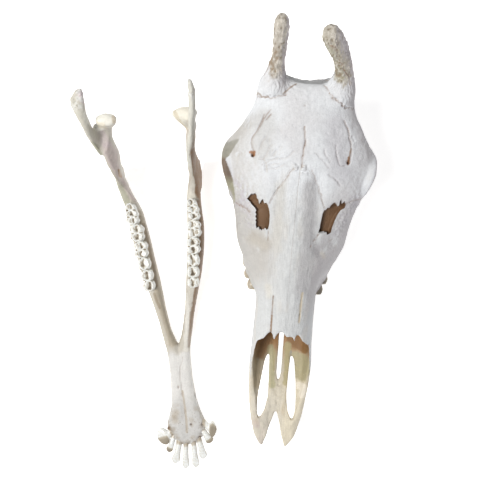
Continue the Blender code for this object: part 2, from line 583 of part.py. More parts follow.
def joined(mesh, teeth, solver="EXACT"):
    """A bone with its teeth, by one union on a collection."""
    made = in_scene(mesh)
    group = bpy.data.collections.new("teeth")
    bpy.context.scene.collection.children.link(group)
    for tooth in teeth:
        group.objects.link(bpy.data.objects.new("tooth", tooth))
    union = made.modifiers.new("teeth", "BOOLEAN")
    union.operation = "UNION"
    union.operand_type = "COLLECTION"
    union.collection = group
    union.solver = solver
    result = largest_body(evaluated(made))
    for tooth in list(group.objects):
        bpy.data.objects.remove(tooth)
    bpy.data.collections.remove(group)
    bpy.data.objects.remove(made)
    return result


def split_at_middle(mesh, bend=((0.0, 0.0),)):
    """The left and the right half of a form, with the gap of a suture along its middle line."""
    line = [(-2 * FAR, bend[0][1]), *bend, (2 * FAR, bend[-1][1])]
    halves = {}
    for side, sign in (("left", 1.0), ("right", -1.0)):
        edge = [(x + sign * GAP / 2, y) for y, x in line]
        region = prism([(sign * FAR, -2 * FAR), *edge, (sign * FAR, 2 * FAR)], -FAR, FAR)
        halves[side] = combined(mesh, region, "INTERSECT")
    return halves


def apart(mesh, region):
    """What lies in a region, and what lies outside it with a gap between the two."""
    inside = combined(mesh, region, "INTERSECT")
    outside = combined(mesh, grown(region, GAP), "DIFFERENCE")
    return inside, outside


def two_sided(outline):
    """A half outline that starts and ends on the middle line, with its mirror image."""
    return list(outline) + [(-x, y) for x, y in outline[-2:0:-1]]


def both_sides(mesh):
    """A form and its mirror image."""
    return [mesh, mirrored(mesh)]


def cranium_skin():
    """The whole cranium in one skin, still solid."""
    forms = [lofted_sections(SECTIONS)]
    sides = [ring_of_bone(ORBIT, ORBIT_RADII, ORBIT_RIM, ORBIT_BOW)]
    sides += [bar(points) for points in
              (ZYGOMATIC_ARCH, POSTORBITAL_BAR, PAROCCIPITAL, NUCHAL_CREST, PTERYGOID)]
    sides += [ellipsoid(*CONDYLE), ellipsoid(*BULLA)]
    for form in sides:
        forms += both_sides(form)
    forms += [bar(points, sides=16) for points in OSSICONE_STEMS.values()]
    return fused(forms, VOXEL, CRANIUM_FACES)


def nasal_cavity():
    """The hollow of the nose, from the front tip back to the middle of the face."""
    keys = [row[0] for row in NASAL_CAVITY]
    places = np.linspace(keys[0], keys[-1], CAVITY_RINGS)
    rows = curve_through(keys, np.array(NASAL_CAVITY)[:, 1:], places)
    rings = []
    for place, (half, floor, ceiling) in zip(places, rows):
        middle = (floor + ceiling) / 2
        rise = (ceiling - floor) / 2
        outline = [(half * wide, middle + rise * up) for wide, up in CAVITY_OUTLINE]
        other = [(-x, z) for x, z in outline[:0:-1]]
        loop = closed_outline(outline + other, CAVITY_POINTS)
        rings.append([(x, place, z) for x, z in loop])
    return tube_of_rings(rings)


def hollowed(skin):
    """The cranium with its openings cut."""
    tools = [nasal_cavity(), prism(NOSE_OPENING, -FAR, FAR, axis="x"), prism(NOSE_FRONT, *NOSE_FRONT_HEIGHTS),
             prism(two_sided(MIDDLE_GAP), *PALATE_HEIGHTS), prism(two_sided(TOE_NOTCH), *TOE_HEIGHTS)]
    for outline, heights in ((PALATINE_FISSURE, PALATE_HEIGHTS), (TOE_CORNER, TOE_HEIGHTS),
                             (VACUITY, VACUITY_HEIGHTS)):
        tools += both_sides(prism(outline, *heights))
    tools += both_sides(ellipsoid(*ORBIT_HOLLOW, segments=24))
    place, radius, depth = SUPRAORBITAL_HOLE
    tools += both_sides(bar(((place[0], place[1], place[2] + depth / 2, radius),
                             (place[0], place[1], place[2] - depth / 2, radius)), sides=7, steps=1))
    place, radius, depth = FORAMEN_MAGNUM
    tools.append(bar(((0.0, place[1], place[2], radius),
                      (0.0, place[1] - depth, place[2], radius * FORAMEN_TAPER)), sides=14, steps=1))
    for tool in tools:
        skin = combined(skin, tool, "DIFFERENCE")
    return skin


def nasal_region():
    """The space of the two nasal bones: their outline in plan, down to a slanting floor."""
    form = bmesh.new()
    form.from_mesh(prism(two_sided(NASAL_OUTLINE), 0.0, FAR))
    keys = [section[0] for section in SECTIONS]
    roofs = np.array([[section[1][1]] for section in SECTIONS])
    for vert in form.verts:
        if vert.co.z < FAR / 2:
            roof = curve_through(keys, roofs, [vert.co.y])[0][0]
            vert.co.z = roof - NASAL_DEPTH
    bmesh.ops.triangulate(form, faces=form.faces)
    mesh = bpy.data.meshes.new("form")
    form.to_mesh(mesh)
    form.free()
    return mesh


def region_in_front(line):
    """All that lies in front of a plane across the skull, given by two points in side view."""
    (y_high, z_high), (y_low, z_low) = line
    slope = (y_high - y_low) / (z_high - z_low)
    outline = ((-FAR, -FAR), (y_low + slope * (-FAR - z_low), -FAR),
               (y_high + slope * (FAR - z_high), FAR), (-FAR, FAR))
    return prism(outline, -FAR, FAR, axis="x")


def ossicone_region():
    """The space of the left ossicone: a foot set in the roof, widening to hold the stem."""
    foot = np.array(OSSICONE_FOOT)
    head = np.array(OSSICONE_HEAD)
    middle = foot.mean(axis=0)
    rings = []
    for height, size, share in OSSICONE_LEVELS:
        line = middle + (foot - middle) * size
        line += (head - line) * share
        rings.append([(x, y, height) for x, y in line])
    return tube_of_rings(rings)


def cheek_tooth(place, width, length, lobes, crown, gum, points_up, vary):
    """A cheek tooth: a lobed column with two rows of cusps round a worn hollow."""
    sides = TOOTH_SIDES + LOBE_SIDES * lobes
    outline = []
    for angle in turns(sides):
        across = blunt(math.cos(angle + math.pi / sides))
        along = blunt(math.sin(angle + math.pi / sides))
        waist = 0.5 + 0.5 * math.cos(math.pi * lobes * (along + 1.0))
        outline.append((across * width / 2 * (1.0 - TOOTH_WAIST * waist), along * length / 2))
    sign = 1.0 if points_up else -1.0
    rings = []
    for share, size, cusp in TOOTH_LEVELS:
        height = crown * share - (TOOTH_ROOT if share == 0.0 else 0.0)
        ring = []
        for x, y in outline:
            ridge = cusp * math.cos(2 * math.pi * lobes * (y / length + 0.5) + math.pi)
            ring.append((place[0] + x * size * vary, place[1] + y * size, gum + sign * (height + ridge)))
        rings.append(ring)
    return tube_of_rings(rings)


def incisor(root, tip, half_width, half_depth, low, high):
    """A front tooth: a slim neck that widens to a rounded spade."""
    start = Vector((root[0], root[1], low))
    end = Vector((tip[0], tip[1], high))
    run = end - start
    side = Vector((run.y, -run.x, 0.0)).normalized()
    points = []
    for part, wide, deep in INCISOR_SHAPE:
        centre = start + run * part
        points.append((*centre, half_width * wide, half_depth * deep))
    return bar(points, sides=8, steps=1, side_axis=side)


def jaw_half(side):
    """One half of the lower jaw in one skin, without teeth."""
    keys = [row[0] for row in JAW_SECTIONS]
    places = np.linspace(keys[0], keys[-1], JAW_RINGS)
    rows = curve_through(keys, np.array(JAW_SECTIONS)[:, 1:], places)
    rings = []
    for place, (inner_top, outer_top, inner_low, outer_low, low, high) in zip(places, rows):
        ring = []
        for angle in turns(JAW_RING_POINTS):
            height = (low + high) / 2 + (high - low) / 2 * blunt(math.sin(angle))
            share = (high - height) / (high - low)
            inner = inner_top + (inner_low - inner_top) * share
            outer = outer_top + (outer_low - outer_top) * share
            ring.append((inner + (outer - inner) * (0.5 + 0.5 * blunt(math.cos(angle))), place, height))
        rings.append(ring)
    forms = [tube_of_rings(rings)]
    keys = [row[0] for row in RAMUS_SECTIONS]
    places = np.linspace(keys[0], keys[-1], RAMUS_RINGS)
    rows = curve_through(keys, np.array(RAMUS_SECTIONS)[:, 1:], places)
    rings = []
    for place, (front, back, middle, half) in zip(places, rows):
        rings.append([(middle + half * blunt(math.sin(angle)),
                       (front + back) / 2 + (back - front) / 2 * math.cos(angle), place)
                      for angle in turns(JAW_RING_POINTS)])
    forms.append(tube_of_rings(rings))
    for form in forms:
        for vert in form.vertices:
            share = min(max((vert.co.y - LEAN_FROM[0]) / (LEAN_FROM[1] - LEAN_FROM[0]), 0.0), 1.0)
            vert.co.x += share * np.interp(vert.co.z, LEAN_HEIGHTS, LEAN[side])
    forms += [bar(points[side], sides=14) for points in (CORONOID, CONDYLE_NECK, NOTCH_WEB)]
    forms.append(ellipsoid(*JAW_CONDYLE[side]))
    whole = gathered(forms)
    if side == "right":
        whole = mirrored(whole)
    return fused([whole], JAW_VOXEL, JAW_FACES, smoothing=3)


def bent(mesh):
    """A half of the jaw with the sideways bend of the whole jaw."""
    keys = [row[0] for row in JAW_BEND]
    moves = [row[1] for row in JAW_BEND]
    for vert in mesh.vertices:
        vert.co.x += np.interp(vert.co.y, keys, moves)
    return mesh


def placed(name, mesh, finish, place):
    """A finished bone as an object under the empty that lays it down."""
    mesh.name = name
    made = in_scene(mesh, name)
    made.data.materials.clear()
    made.data.materials.append(finish)
    made.data.shade_smooth()
    made.data.set_sharp_from_angle(angle=SHARP_ANGLE)
    made.parent = place
    return made


def trimmed_at_floor(made, floor):
    """Cut the bone where it touches the table, so that it rests on small flats."""
    cut = made.modifiers.new("floor", "BOOLEAN")
    cut.operation = "DIFFERENCE"
    cut.object = floor
    cut.solver = "EXACT"
    made.data = largest_body(evaluated(made))


def lay_down(name, front, yaw, pitch, lift):
    """The empty that carries one half of the skull."""
    place = bpy.data.objects.new(name, None)
    bpy.context.scene.collection.objects.link(place)
    place.location = (front[0] - CENTRE[0], front[1] - CENTRE[1], lift)
    place.rotation_euler = (Matrix.Rotation(-yaw, 3, "Z") @ Matrix.Rotation(-pitch, 3, "X")).to_euler()
    return place


def upper_teeth(side, chance):
    """The six upper cheek teeth of one side."""
    teeth = []
    for (x, y), width, length, lobes, crown in UPPER_TEETH:
        vary = 1.0 + chance.uniform(-TOOTH_VARIATION, TOOTH_VARIATION)
        mesh = cheek_tooth((x, y), width, length, lobes, crown, UPPER_GUM, False, vary)
        teeth.append(mesh if side == "left" else mirrored(mesh))
    return teeth


def lower_teeth(side, chance):
    """The six lower cheek teeth and the four front teeth of one side."""
    keys = [row[0] for row in JAW_SECTIONS]
    borders = np.array([[row[-1]] for row in JAW_SECTIONS])
    teeth = []
    for (x, y), width, length, lobes, crown in LOWER_TEETH:
        vary = 1.0 + chance.uniform(-TOOTH_VARIATION, TOOTH_VARIATION)
        gum = curve_through(keys, borders, [y])[0][0] - 0.001
        mesh = cheek_tooth((x, y), width, length, lobes, crown, gum, True, vary)
        teeth.append(mesh if side == "left" else mirrored(mesh))
    for root, tip, half_width, half_depth in INCISORS:
        vary = 1.0 + chance.uniform(-TOOTH_VARIATION, TOOTH_VARIATION)
        mesh = incisor(root, tip, half_width * vary, half_depth, *INCISOR_HEIGHT)
        teeth.append(mesh if side == "left" else mirrored(mesh))
    return teeth


def build_cranium(place, bone, horn):
    """The bones of the cranium, cut apart along their sutures."""
    skin = hollowed(cranium_skin())
    nasals, rest = apart(skin, nasal_region())
    front, braincase = apart(rest, region_in_front(MAXILLA_BACK))
    premaxillae, maxillae = apart(front, region_in_front(PREMAXILLA_BACK))
    chance = random.Random(CRANIUM_SEED)
    made = []
    for side, mesh in split_at_middle(nasals).items():
        made.append(placed("nasal_" + side, mesh, bone, place))
    for side, mesh in split_at_middle(premaxillae).items():
        made.append(placed("premaxilla_" + side, mesh, bone, place))
    for side, mesh in split_at_middle(maxillae).items():
        made.append(placed("maxilla_" + side, joined(mesh, upper_teeth(side, chance)), bone, place))
    for side, region in zip(("left", "right"), both_sides(ossicone_region())):
        core, braincase = apart(braincase, region)
        made.append(placed("ossicone_" + side, core, horn, place))
    made.append(placed("cranium", braincase, bone, place))
    return made


def build_jaw(place, bone):
    """The two halves of the lower jaw, which meet at the chin."""
    chance = random.Random(JAW_SEED)
    made = []
    for side in ("left", "right"):
        whole = bent(joined(jaw_half(side), lower_teeth(side, chance)))
        half = split_at_middle(whole, JAW_BEND)[side]
        made.append(placed("mandible_" + side, half, bone, place))
    return made


def main():
    """Build the skull."""
    for old in list(bpy.data.objects):
        bpy.data.objects.remove(old, do_unlink=True)
    bone = material("bleached_bone", **BONE)
    jaw_bone = material("jaw_bone", **JAW_BONE)
    horn = material("horn_bone", **HORN_BONE)
    lift = CRANIUM_PIVOT * math.sin(CRANIUM_PITCH) - FLOOR_TRIM
    cranium_place = lay_down("cranium_place", CRANIUM_TIP, CRANIUM_YAW, CRANIUM_PITCH, lift)
    jaw_place = lay_down("jaw_place", JAW_FRONT, JAW_YAW, 0.0, -FLOOR_TRIM)
    bones = build_cranium(cranium_place, bone, horn) + build_jaw(jaw_place, jaw_bone)
    table = in_scene(prism(((-FAR, -FAR), (FAR, -FAR), (FAR, FAR), (-FAR, FAR)), -FAR, 0.0))
    for made in bones:
        if made.name.split("_")[0] in ("cranium", "maxilla", "mandible"):
            trimmed_at_floor(made, table)
    bpy.data.objects.remove(table)


main()
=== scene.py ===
"""The looks of a young giraffe's skull: bleached cranium and lower jaw, side by side on a pale table.

The skin of each half is melted from its bones, smoothed and carved with sutures, grooves, holes and
rough patches, and then parted along the sutures again, so that every bone stays a piece of its own.
Metres throughout. Each half has a frame of its own: x to the animal's left, y from the front tip
backwards, z up.
"""

import logging
import math
import random
from dataclasses import dataclass, field
from enum import Enum
from typing import Callable, Iterable, Sequence

import bmesh
import bpy
import numpy as np
from mathutils import Matrix, Vector
from mathutils.bvhtree import BVHTree


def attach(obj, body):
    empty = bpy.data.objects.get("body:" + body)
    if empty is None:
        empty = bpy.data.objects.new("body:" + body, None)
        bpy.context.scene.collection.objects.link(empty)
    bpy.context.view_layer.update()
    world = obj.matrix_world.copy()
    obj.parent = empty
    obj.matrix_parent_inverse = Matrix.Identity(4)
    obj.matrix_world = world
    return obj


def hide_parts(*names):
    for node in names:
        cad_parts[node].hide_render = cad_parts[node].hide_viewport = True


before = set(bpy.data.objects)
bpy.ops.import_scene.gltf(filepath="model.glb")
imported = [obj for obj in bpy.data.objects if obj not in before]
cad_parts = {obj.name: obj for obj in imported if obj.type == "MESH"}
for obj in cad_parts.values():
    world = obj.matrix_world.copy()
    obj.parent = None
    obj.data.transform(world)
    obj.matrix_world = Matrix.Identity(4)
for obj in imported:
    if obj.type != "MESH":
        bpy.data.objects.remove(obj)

LOG = logging.getLogger("giraffe_skull")
BODY = "root"
# The animal's own sides, and the sign of x on each
SIDES = (("left", 1.0), ("right", -1.0))
# Width of the gap along a parted suture, and the distance at which a node's corners are merged
SEAM = 0.00008
WELD = 0.00001
# A distance well past the skull, for the tools that cut it
FAR = 0.5
# The width of a border that is not soft
HARD = 0.000001
# An edge that is bent by more than this stays sharp
EDGE_ANGLE = math.radians(55.0)
# The rounds of smoothing of a melted skin: before, over the steps of the bones, and after. The middle one
# moves a corner no further than so many times the swelling
SMOOTH_ROUNDS = (5, 60, 2)
SMOOTH_REACH = 1.6
# How many values the noise is read from, and what turns the three numbers of a cell into one of them
NOISE_VALUES = 8192
NOISE_KEYS = (73856093, 19349663, 83492791)

Point = tuple[float, float, float]
Spot = tuple[float, float]
Limits = tuple[float, ...]
Path = tuple[Spot, ...]
Run = tuple[tuple[float, str], ...]
Array = np.ndarray
Mesh = bpy.types.Mesh
Form = bmesh.types.BMesh
Material = bpy.types.Material
Tree = bpy.types.NodeTree
Socket = bpy.types.NodeSocket


class Slot(Enum):
    """The finishes of the bones."""

    BLEACHED = "bleached_bone"
    JAW = "jaw_bone"
    HORN = "horn_bone"


class Seen(Enum):
    """The side from which a mark on the bone is drawn: the two axes of its plane and the one across."""

    TOP = (0, 1, 2, 1.0)
    LEFT = (1, 2, 0, 1.0)
    RIGHT = (1, 2, 0, -1.0)


class Keep(Enum):
    """What a cut keeps: what lies outside its tool, or what lies inside."""

    OUTSIDE = "DIFFERENCE"
    INSIDE = "INTERSECT"


@dataclass(frozen=True)
class Placement:
    """Where one half of the skull lies.

    Args:
        origin: the front tip on the tooth plane, in the part's frame.
        yaw: turn about the upright, in degrees.
        pitch: how far the front is raised, in degrees.
    """

    origin: Point
    yaw: float
    pitch: float

    @property
    def matrix(self) -> Matrix:
        """From the half's own frame to the part's."""
        turn = (Matrix.Rotation(-math.radians(self.yaw), 4, "Z")
                @ Matrix.Rotation(-math.radians(self.pitch), 4, "X"))
        return Matrix.Translation(self.origin) @ turn


CRANIUM_PLACE = Placement((0.0686, -0.2989, 0.0484), 4.55, 7.0)
JAW_PLACE = Placement((-0.0842, -0.3076, -0.001), -4.41, 0.0)


def rows(items: bpy.types.bpy_prop_collection, name: str, width: int, kind: type) -> Array:
    """A property of the items of a mesh, one row each."""
    flat = np.empty(len(items) * width, kind)
    items.foreach_get(name, flat)
    return flat.reshape(-1, width)


def corners(mesh: Mesh) -> Array:
    """The places of a mesh's corners."""
    return rows(mesh.vertices, "co", 3, np.float32).astype(float)


def move_corners(mesh: Mesh, places: Array) -> None:
    """Put a mesh's corners at new places."""
    mesh.vertices.foreach_set("co", places.astype(np.float32).ravel())
    mesh.update()


def outward(mesh: Mesh) -> Array:
    """The outward direction at each corner."""
    return rows(mesh.vertex_normals, "vector", 3, np.float32).astype(float)


def links(mesh: Mesh) -> Array:
    """The two corners of each edge."""
    return rows(mesh.edges, "vertices", 2, np.int32)


def relaxed(places: Array, edges: Array, rounds: int, pull: float = 0.5) -> Array:
    """Move each corner towards the middle of its neighbours.

    Args:
        places: the corners.
        edges: the pairs that are joined.
        rounds: how often they move.
        pull: share of the way they go each time.

    Returns:
        The new corners.
    """
    count = len(places)
    first, second = edges[:, 0], edges[:, 1]
    degree = np.maximum(np.bincount(edges.ravel(), minlength=count), 1)
    places = places.copy()
    for _ in range(rounds):
        for axis in range(3):
            line = places[:, axis]
            total = (np.bincount(first, line[second], count) + np.bincount(second, line[first], count))
            places[:, axis] = line + pull * (total / degree - line)
    return places


def ripple(places: Array, size: float, octaves: int = 1, seed: int = 0) -> Array:
    """Smooth noise between about -1 and 1.

    Args:
        places: where it is read.
        size: the width of its largest waves.
        octaves: how many finer layers it has, each half as wide and half as strong.
        seed: picks another pattern.

    Returns:
        One value for each place.
    """
    table = np.random.default_rng(seed + 11).uniform(-1.0, 1.0, NOISE_VALUES)
    total = np.zeros(len(places))
    for octave in range(octaves):
        spots = places * (2.0 ** octave / size) + 31.7 * (seed + octave)
        cell = np.floor(spots).astype(np.int64)
        part = spots - cell
        part = part * part * (3.0 - 2.0 * part)
        for corner in range(8):
            bits = np.array([corner & 1, corner >> 1 & 1, corner >> 2 & 1])
            share = np.prod(np.where(bits == 1, part, 1.0 - part), axis=1)
            key = (cell + bits) @ np.array(NOISE_KEYS)
            total += share * table[(key ^ key >> 13) & (NOISE_VALUES - 1)] / 2.0 ** octave
    return total


def fade(values: Array | float, start: float, end: float) -> Array | float:
    """A soft step: 0 up to start and 1 from end on, or the other way round where end is lower."""
    share = np.clip((values - start) / (end - start), 0.0, 1.0)
    return share * share * (3.0 - 2.0 * share)


def bell(values: Array, width: float) -> Array:
    """1 at zero, falling off smoothly over a width."""
    return np.exp(-(values / width) ** 2)


def to_path(spots: Array, path: Sequence[Spot]) -> Array:
    """The distance of points in a plane from a line of points."""
    line = np.array(path, float)
    best = np.linalg.norm(spots - line[0], axis=1)
    for start, end in zip(line, line[1:]):
        run = end - start
        share = np.clip((spots - start) @ run / max(float(run @ run), 1e-12), 0.0, 1.0)
        best = np.minimum(best, np.linalg.norm(spots - start - share[:, None] * run, axis=1))
    return best


def smooth_line(points: Sequence[Sequence[float]], step: float, closed: bool = False) -> Array:
    """Read a smooth curve through points at even steps.

    Args:
        points: the points, of any number of values each.
        step: distance between the points that come back.
        closed: whether the curve returns to its start.

    Returns:
        The points of the curve.
    """
    line = np.array(points, float)
    if closed:
        line = np.concatenate((line[-2:], line, line[:3]))
    else:
        line = np.concatenate((2 * line[:1] - line[1:2], line, 2 * line[-1:] - line[-2:-1]))
    made = []
    last = len(line) - 3 if not closed else len(line) - 4
    first = 1 if not closed else 2
    for index in range(first, last + (1 if closed else 0)):
        before, start, end, after = line[index - 1:index + 3]
        count = max(1, round(float(np.linalg.norm(end - start)) / step))
        for part in np.arange(count) / count:
            made.append(0.5 * (2 * start + (end - before) * part
                               + (2 * before - 5 * start + 4 * end - after) * part ** 2
                               + (3 * start - before - 3 * end + after) * part ** 3))
    if not closed:
        made.append(line[-2])
    return np.array(made)


def in_scene(mesh: Mesh, name: str) -> bpy.types.Object:
    """An object that shows a mesh."""
    made = bpy.data.objects.new(name, mesh)
    bpy.context.scene.collection.objects.link(made)
    return made


def taken(form: Form, name: str = "form") -> Mesh:
    """Close a bmesh and keep its shape as a mesh."""
    mesh = bpy.data.meshes.new(name)
    form.to_mesh(mesh)
    form.free()
    return mesh


def evaluated(made: bpy.types.Object) -> Mesh:
    """The mesh that an object's modifiers give; the object goes."""
    bpy.context.view_layer.update()
    graph = bpy.context.evaluated_depsgraph_get()
    mesh = bpy.data.meshes.new_from_object(made.evaluated_get(graph))
    bpy.data.objects.remove(made)
    return mesh


def gathered(meshes: Iterable[Mesh]) -> Mesh:
    """Several meshes in one."""
    form = bmesh.new()
    for mesh in meshes:
        form.from_mesh(mesh)
    return taken(form)


def largest_body(mesh: Mesh) -> Mesh:
    """Keep only the largest closed surface of a mesh."""
    edges = links(mesh)
    count = len(mesh.vertices)
    label = np.arange(count)
    while True:
        low = np.minimum(label[edges[:, 0]], label[edges[:, 1]])
        fresh = label.copy()
        np.minimum.at(fresh, edges[:, 0], low)
        np.minimum.at(fresh, edges[:, 1], low)
        fresh = fresh[fresh]
        if np.array_equal(fresh, label):
            break
        label = fresh
    names, sizes = np.unique(label, return_counts=True)
    if len(names) > 1:
        kept = names[np.argmax(sizes)]
        form = bmesh.new()
        form.from_mesh(mesh)
        scraps = [vert for vert, part in zip(form.verts, label) if part != kept]
        bmesh.ops.delete(form, geom=scraps, context="VERTS")
        form.to_mesh(mesh)
        form.free()
    return mesh


def cut(mesh: Mesh, tool: Mesh, keep: Keep) -> Mesh:
    """A closed mesh cut by, or cut to, another closed mesh.

    Args:
        mesh: what is cut.
        tool: the region.
        keep: which side of the region's skin is kept.

    Returns:
        What is left.
    """
    made = in_scene(mesh, "cut")
    other = in_scene(tool, "tool")
    change = made.modifiers.new("cut", "BOOLEAN")
    change.operation = keep.value
    change.object = other
    change.solver = "MANIFOLD"
    result = evaluated(made)
    bpy.data.objects.remove(other)
    if len(result.vertices) in (0, len(mesh.vertices)):
        raise ValueError(f"the {keep.value.lower()} left the mesh as it was or empty")
    return result


def melted(meshes: Iterable[Mesh], voxel: float) -> Mesh:
    """Closed meshes melted into one skin of even small faces."""
    made = in_scene(gathered(meshes), "melt")
    change = made.modifiers.new("melt", "REMESH")
    change.mode = "VOXEL"
    change.voxel_size = voxel
    return largest_body(evaluated(made))


def swollen(mesh: Mesh, distance: float) -> Mesh:
    """A copy of a mesh with every corner moved outwards."""
    copy = mesh.copy()
    move_corners(copy, corners(copy) + outward(copy) * distance)
    return copy


def thicken(form: Form, run: Sequence[float]) -> None:
    """Close the open faces of a form by drawing them out along a run."""
    grown = bmesh.ops.extrude_face_region(form, geom=list(form.faces))["geom"]
    moved = [item for item in grown if isinstance(item, bmesh.types.BMVert)]
    bmesh.ops.translate(form, vec=run, verts=moved)
    bmesh.ops.recalc_face_normals(form, faces=form.faces)


def next_ring(form: Form, rim: Sequence[bmesh.types.BMEdge]
              ) -> tuple[list[bmesh.types.BMVert], list[bmesh.types.BMEdge]]:
    """Draw out a closed rim of edges, which gives the new corners and the new rim."""
    grown = bmesh.ops.extrude_edge_only(form, edges=rim)["geom"]
    fresh = [item for item in grown if isinstance(item, bmesh.types.BMVert)]
    known = set(fresh)
    return fresh, [item for item in grown if isinstance(item, bmesh.types.BMEdge)
                   and item.verts[0] in known and item.verts[1] in known]


def value_layer(form: Form, name: str) -> bmesh.types.BMLayerItem:
    """The layer that keeps a value of each corner for the finish, made where it is missing."""
    return form.verts.layers.float.get(name) or form.verts.layers.float.new(name)


def prism(outline: Sequence[Spot], low: float, high: float, seen: Seen = Seen.TOP) -> Mesh:
    """A closed prism over an outline.

    Args:
        outline: its corners in the plane of the view.
        low: where it starts across that plane.
        high: where it ends.
        seen: the view that the outline is drawn in.

    Returns:
        The closed mesh.
    """
    across, up, deep, _ = seen.value
    form = bmesh.new()
    ring = []
    for a, b in outline:
        place = [0.0, 0.0, 0.0]
        place[across], place[up], place[deep] = a, b, low
        ring.append(form.verts.new(place))
    form.faces.new(ring)
    lift = [0.0, 0.0, 0.0]
    lift[deep] = high - low
    thicken(form, lift)
    bmesh.ops.triangulate(form, faces=form.faces)
    return taken(form)


def rings_to_form(form: Form, rings: Sequence[Sequence[Sequence[float]]]) -> None:
    """Extrude a circle ring by ring through given rings of equally many points, and close its ends."""
    current = bmesh.ops.create_circle(form, segments=len(rings[0]), radius=1.0)["verts"]
    for vert, place in zip(current, rings[0]):
        vert.co = place
    edges = list({edge for vert in current for edge in vert.link_edges})
    bmesh.ops.contextual_create(form, geom=edges)
    for ring in rings[1:]:
        fresh, edges = next_ring(form, edges)
        known = set(fresh)
        current = [next(edge.other_vert(vert) for edge in vert.link_edges if edge.other_vert(vert) in known)
                   for vert in current]
        for vert, place in zip(current, ring):
            vert.co = place
    bmesh.ops.contextual_create(form, geom=edges)
    bmesh.ops.recalc_face_normals(form, faces=form.faces)


@dataclass(frozen=True)
class Suture:
    """A wavy sheet through the skull, along which two bones meet.

    Args:
        middle: a point of the sheet.
        facing: the direction across it, towards the bone behind or on the left.
        reach: half its size across and along.
        wave: how far it waves to either side.
        length: the width of a wave.
        seed: picks the pattern.
    """

    middle: Point
    facing: Point
    reach: Spot
    wave: float = 0.0008
    length: float = 0.006
    seed: int = 1

    @property
    def direction(self) -> Array:
        """The direction across, of length one."""
        facing = np.array(self.facing)
        return facing / np.linalg.norm(facing)

    def apart(self, places: Array) -> Array:
        """How far each place lies behind the sheet."""
        height = (places - np.array(self.middle)) @ self.direction
        flat = places - height[:, None] * self.direction
        return height - self.wave * ripple(flat, self.length, 2, self.seed)

    def region(self, sign: float) -> Mesh:
        """The closed space on one side of the sheet, half a seam away from it.

        Args:
            sign: 1 for the space that it faces, -1 for the other.

        Returns:
            The closed mesh.
        """
        form = bmesh.new()
        wide, long = self.reach
        step = self.length / 3
        bmesh.ops.create_grid(form, x_segments=round(2 * wide / step), y_segments=round(2 * long / step),
                              size=1.0)
        bmesh.ops.scale(form, vec=(wide, long, 1.0), verts=form.verts)
        turn = Vector((0.0, 0.0, 1.0)).rotation_difference(Vector(self.direction)).to_matrix().to_4x4()
        bmesh.ops.transform(form, matrix=Matrix.Translation(self.middle) @ turn, verts=form.verts)
        places = np.array([vert.co[:] for vert in form.verts])
        shift = -self.apart(places) + sign * SEAM / 2
        for vert, move in zip(form.verts, shift):
            vert.co += Vector(self.direction) * move
        thicken(form, Vector(self.direction) * (sign * FAR))
        return taken(form)


@dataclass(frozen=True)
class Mark:
    """A groove, ridge or hole drawn on the bone.

    Args:
        path: its points in the plane of the view.
        width: how far it reaches to either side.
        depth: how deep it is cut; a ridge has less than nothing.
        stain: how dark its dirt is, from 0 to 1.
        seen: the view that it is drawn in.
        wobble: how far its line wanders.
        within: the range across the view in which it acts.
        dots: width of the dots that it breaks up into, or nothing for a whole line.
        facing: how far the bone has to face the view.
    """

    path: Path
    width: float
    depth: float
    stain: float = 0.0
    seen: Seen = Seen.TOP
    wobble: float = 0.0005
    within: Spot = (-1.0, 1.0)
    dots: float = 0.0
    facing: float = 0.12

    def share(self, places: Array, facing: Array) -> tuple[Array, Array]:
        """How strongly it acts at each place.

        Args:
            places: the corners.
            facing: their outward directions.

        Returns:
            The share of its depth, and the share of its stain.
        """
        across, up, deep, sign = self.seen.value
        line = np.array(self.path)
        margin = 4.0 * self.width + 2.0 * self.wobble
        low, high = line.min(axis=0) - margin, line.max(axis=0) + margin
        spots = places[:, (across, up)]
        near = np.all((spots > low) & (spots < high), axis=1) & (facing[:, deep] * sign > self.facing)
        near &= (places[:, deep] > self.within[0]) & (places[:, deep] < self.within[1])
        cuts = np.zeros(len(places))
        dirt = np.zeros(len(places))
        if near.any():
            wander = np.stack((ripple(places[near], 0.004, 1, 5), ripple(places[near], 0.004, 1, 6)), axis=1)
            away = to_path(spots[near] + self.wobble * wander, self.path)
            strength = 0.75 + 0.35 * ripple(places[near], 0.009, 1, 8)
            if self.dots:
                strength = strength * fade(ripple(places[near], self.dots, 1, 9), -0.15, 0.25)
            cuts[near] = bell(away, self.width) * strength
            dirt[near] = bell(away, self.width * 0.8) * np.clip(strength, 0.0, 1.0)
        return cuts, dirt * self.stain


@dataclass(frozen=True)
class Tone:
    """A patch of another colour on the bone.

    Args:
        colour: its colour.
        path: its points in the plane of the view.
        width: how far it reaches to either side.
        strength: how much of the colour below it hides.
        seen: the view that it is drawn in.
        within: the range across the view in which it acts.
        soft: share of its width over which it fades.
    """

    colour: str
    path: Path
    width: float
    strength: float = 1.0
    seen: Seen = Seen.TOP
    within: Spot = (-1.0, 1.0)
    soft: float = 0.5

    def share(self, places: Array, facing: Array) -> Array:
        """How strongly it acts at each place."""
        across, up, deep, sign = self.seen.value
        away = to_path(places[:, (across, up)], self.path) + 0.18 * self.width * ripple(places, 0.006, 2, 15)
        share = fade(away, self.width * (1.0 + self.soft / 2), self.width * (1.0 - self.soft / 2))
        share *= (places[:, deep] > self.within[0]) & (places[:, deep] < self.within[1])
        return self.strength * share * fade(facing[:, deep] * sign, -0.15, 0.15)


@dataclass(frozen=True)
class Noise:
    """A pattern of smooth noise.

    Args:
        size: the width of its largest waves.
        octaves: how many finer layers it has.
        seed: picks the pattern.
        squeeze: what the places are multiplied by: a low value draws the waves out along its axis.
    """

    size: float
    octaves: int
    seed: int
    squeeze: Point = (1.0, 1.0, 1.0)

    def at(self, places: Array) -> Array:
        """Its value at each place, between about -1 and 1."""
        return ripple(places * self.squeeze, self.size, self.octaves, self.seed)


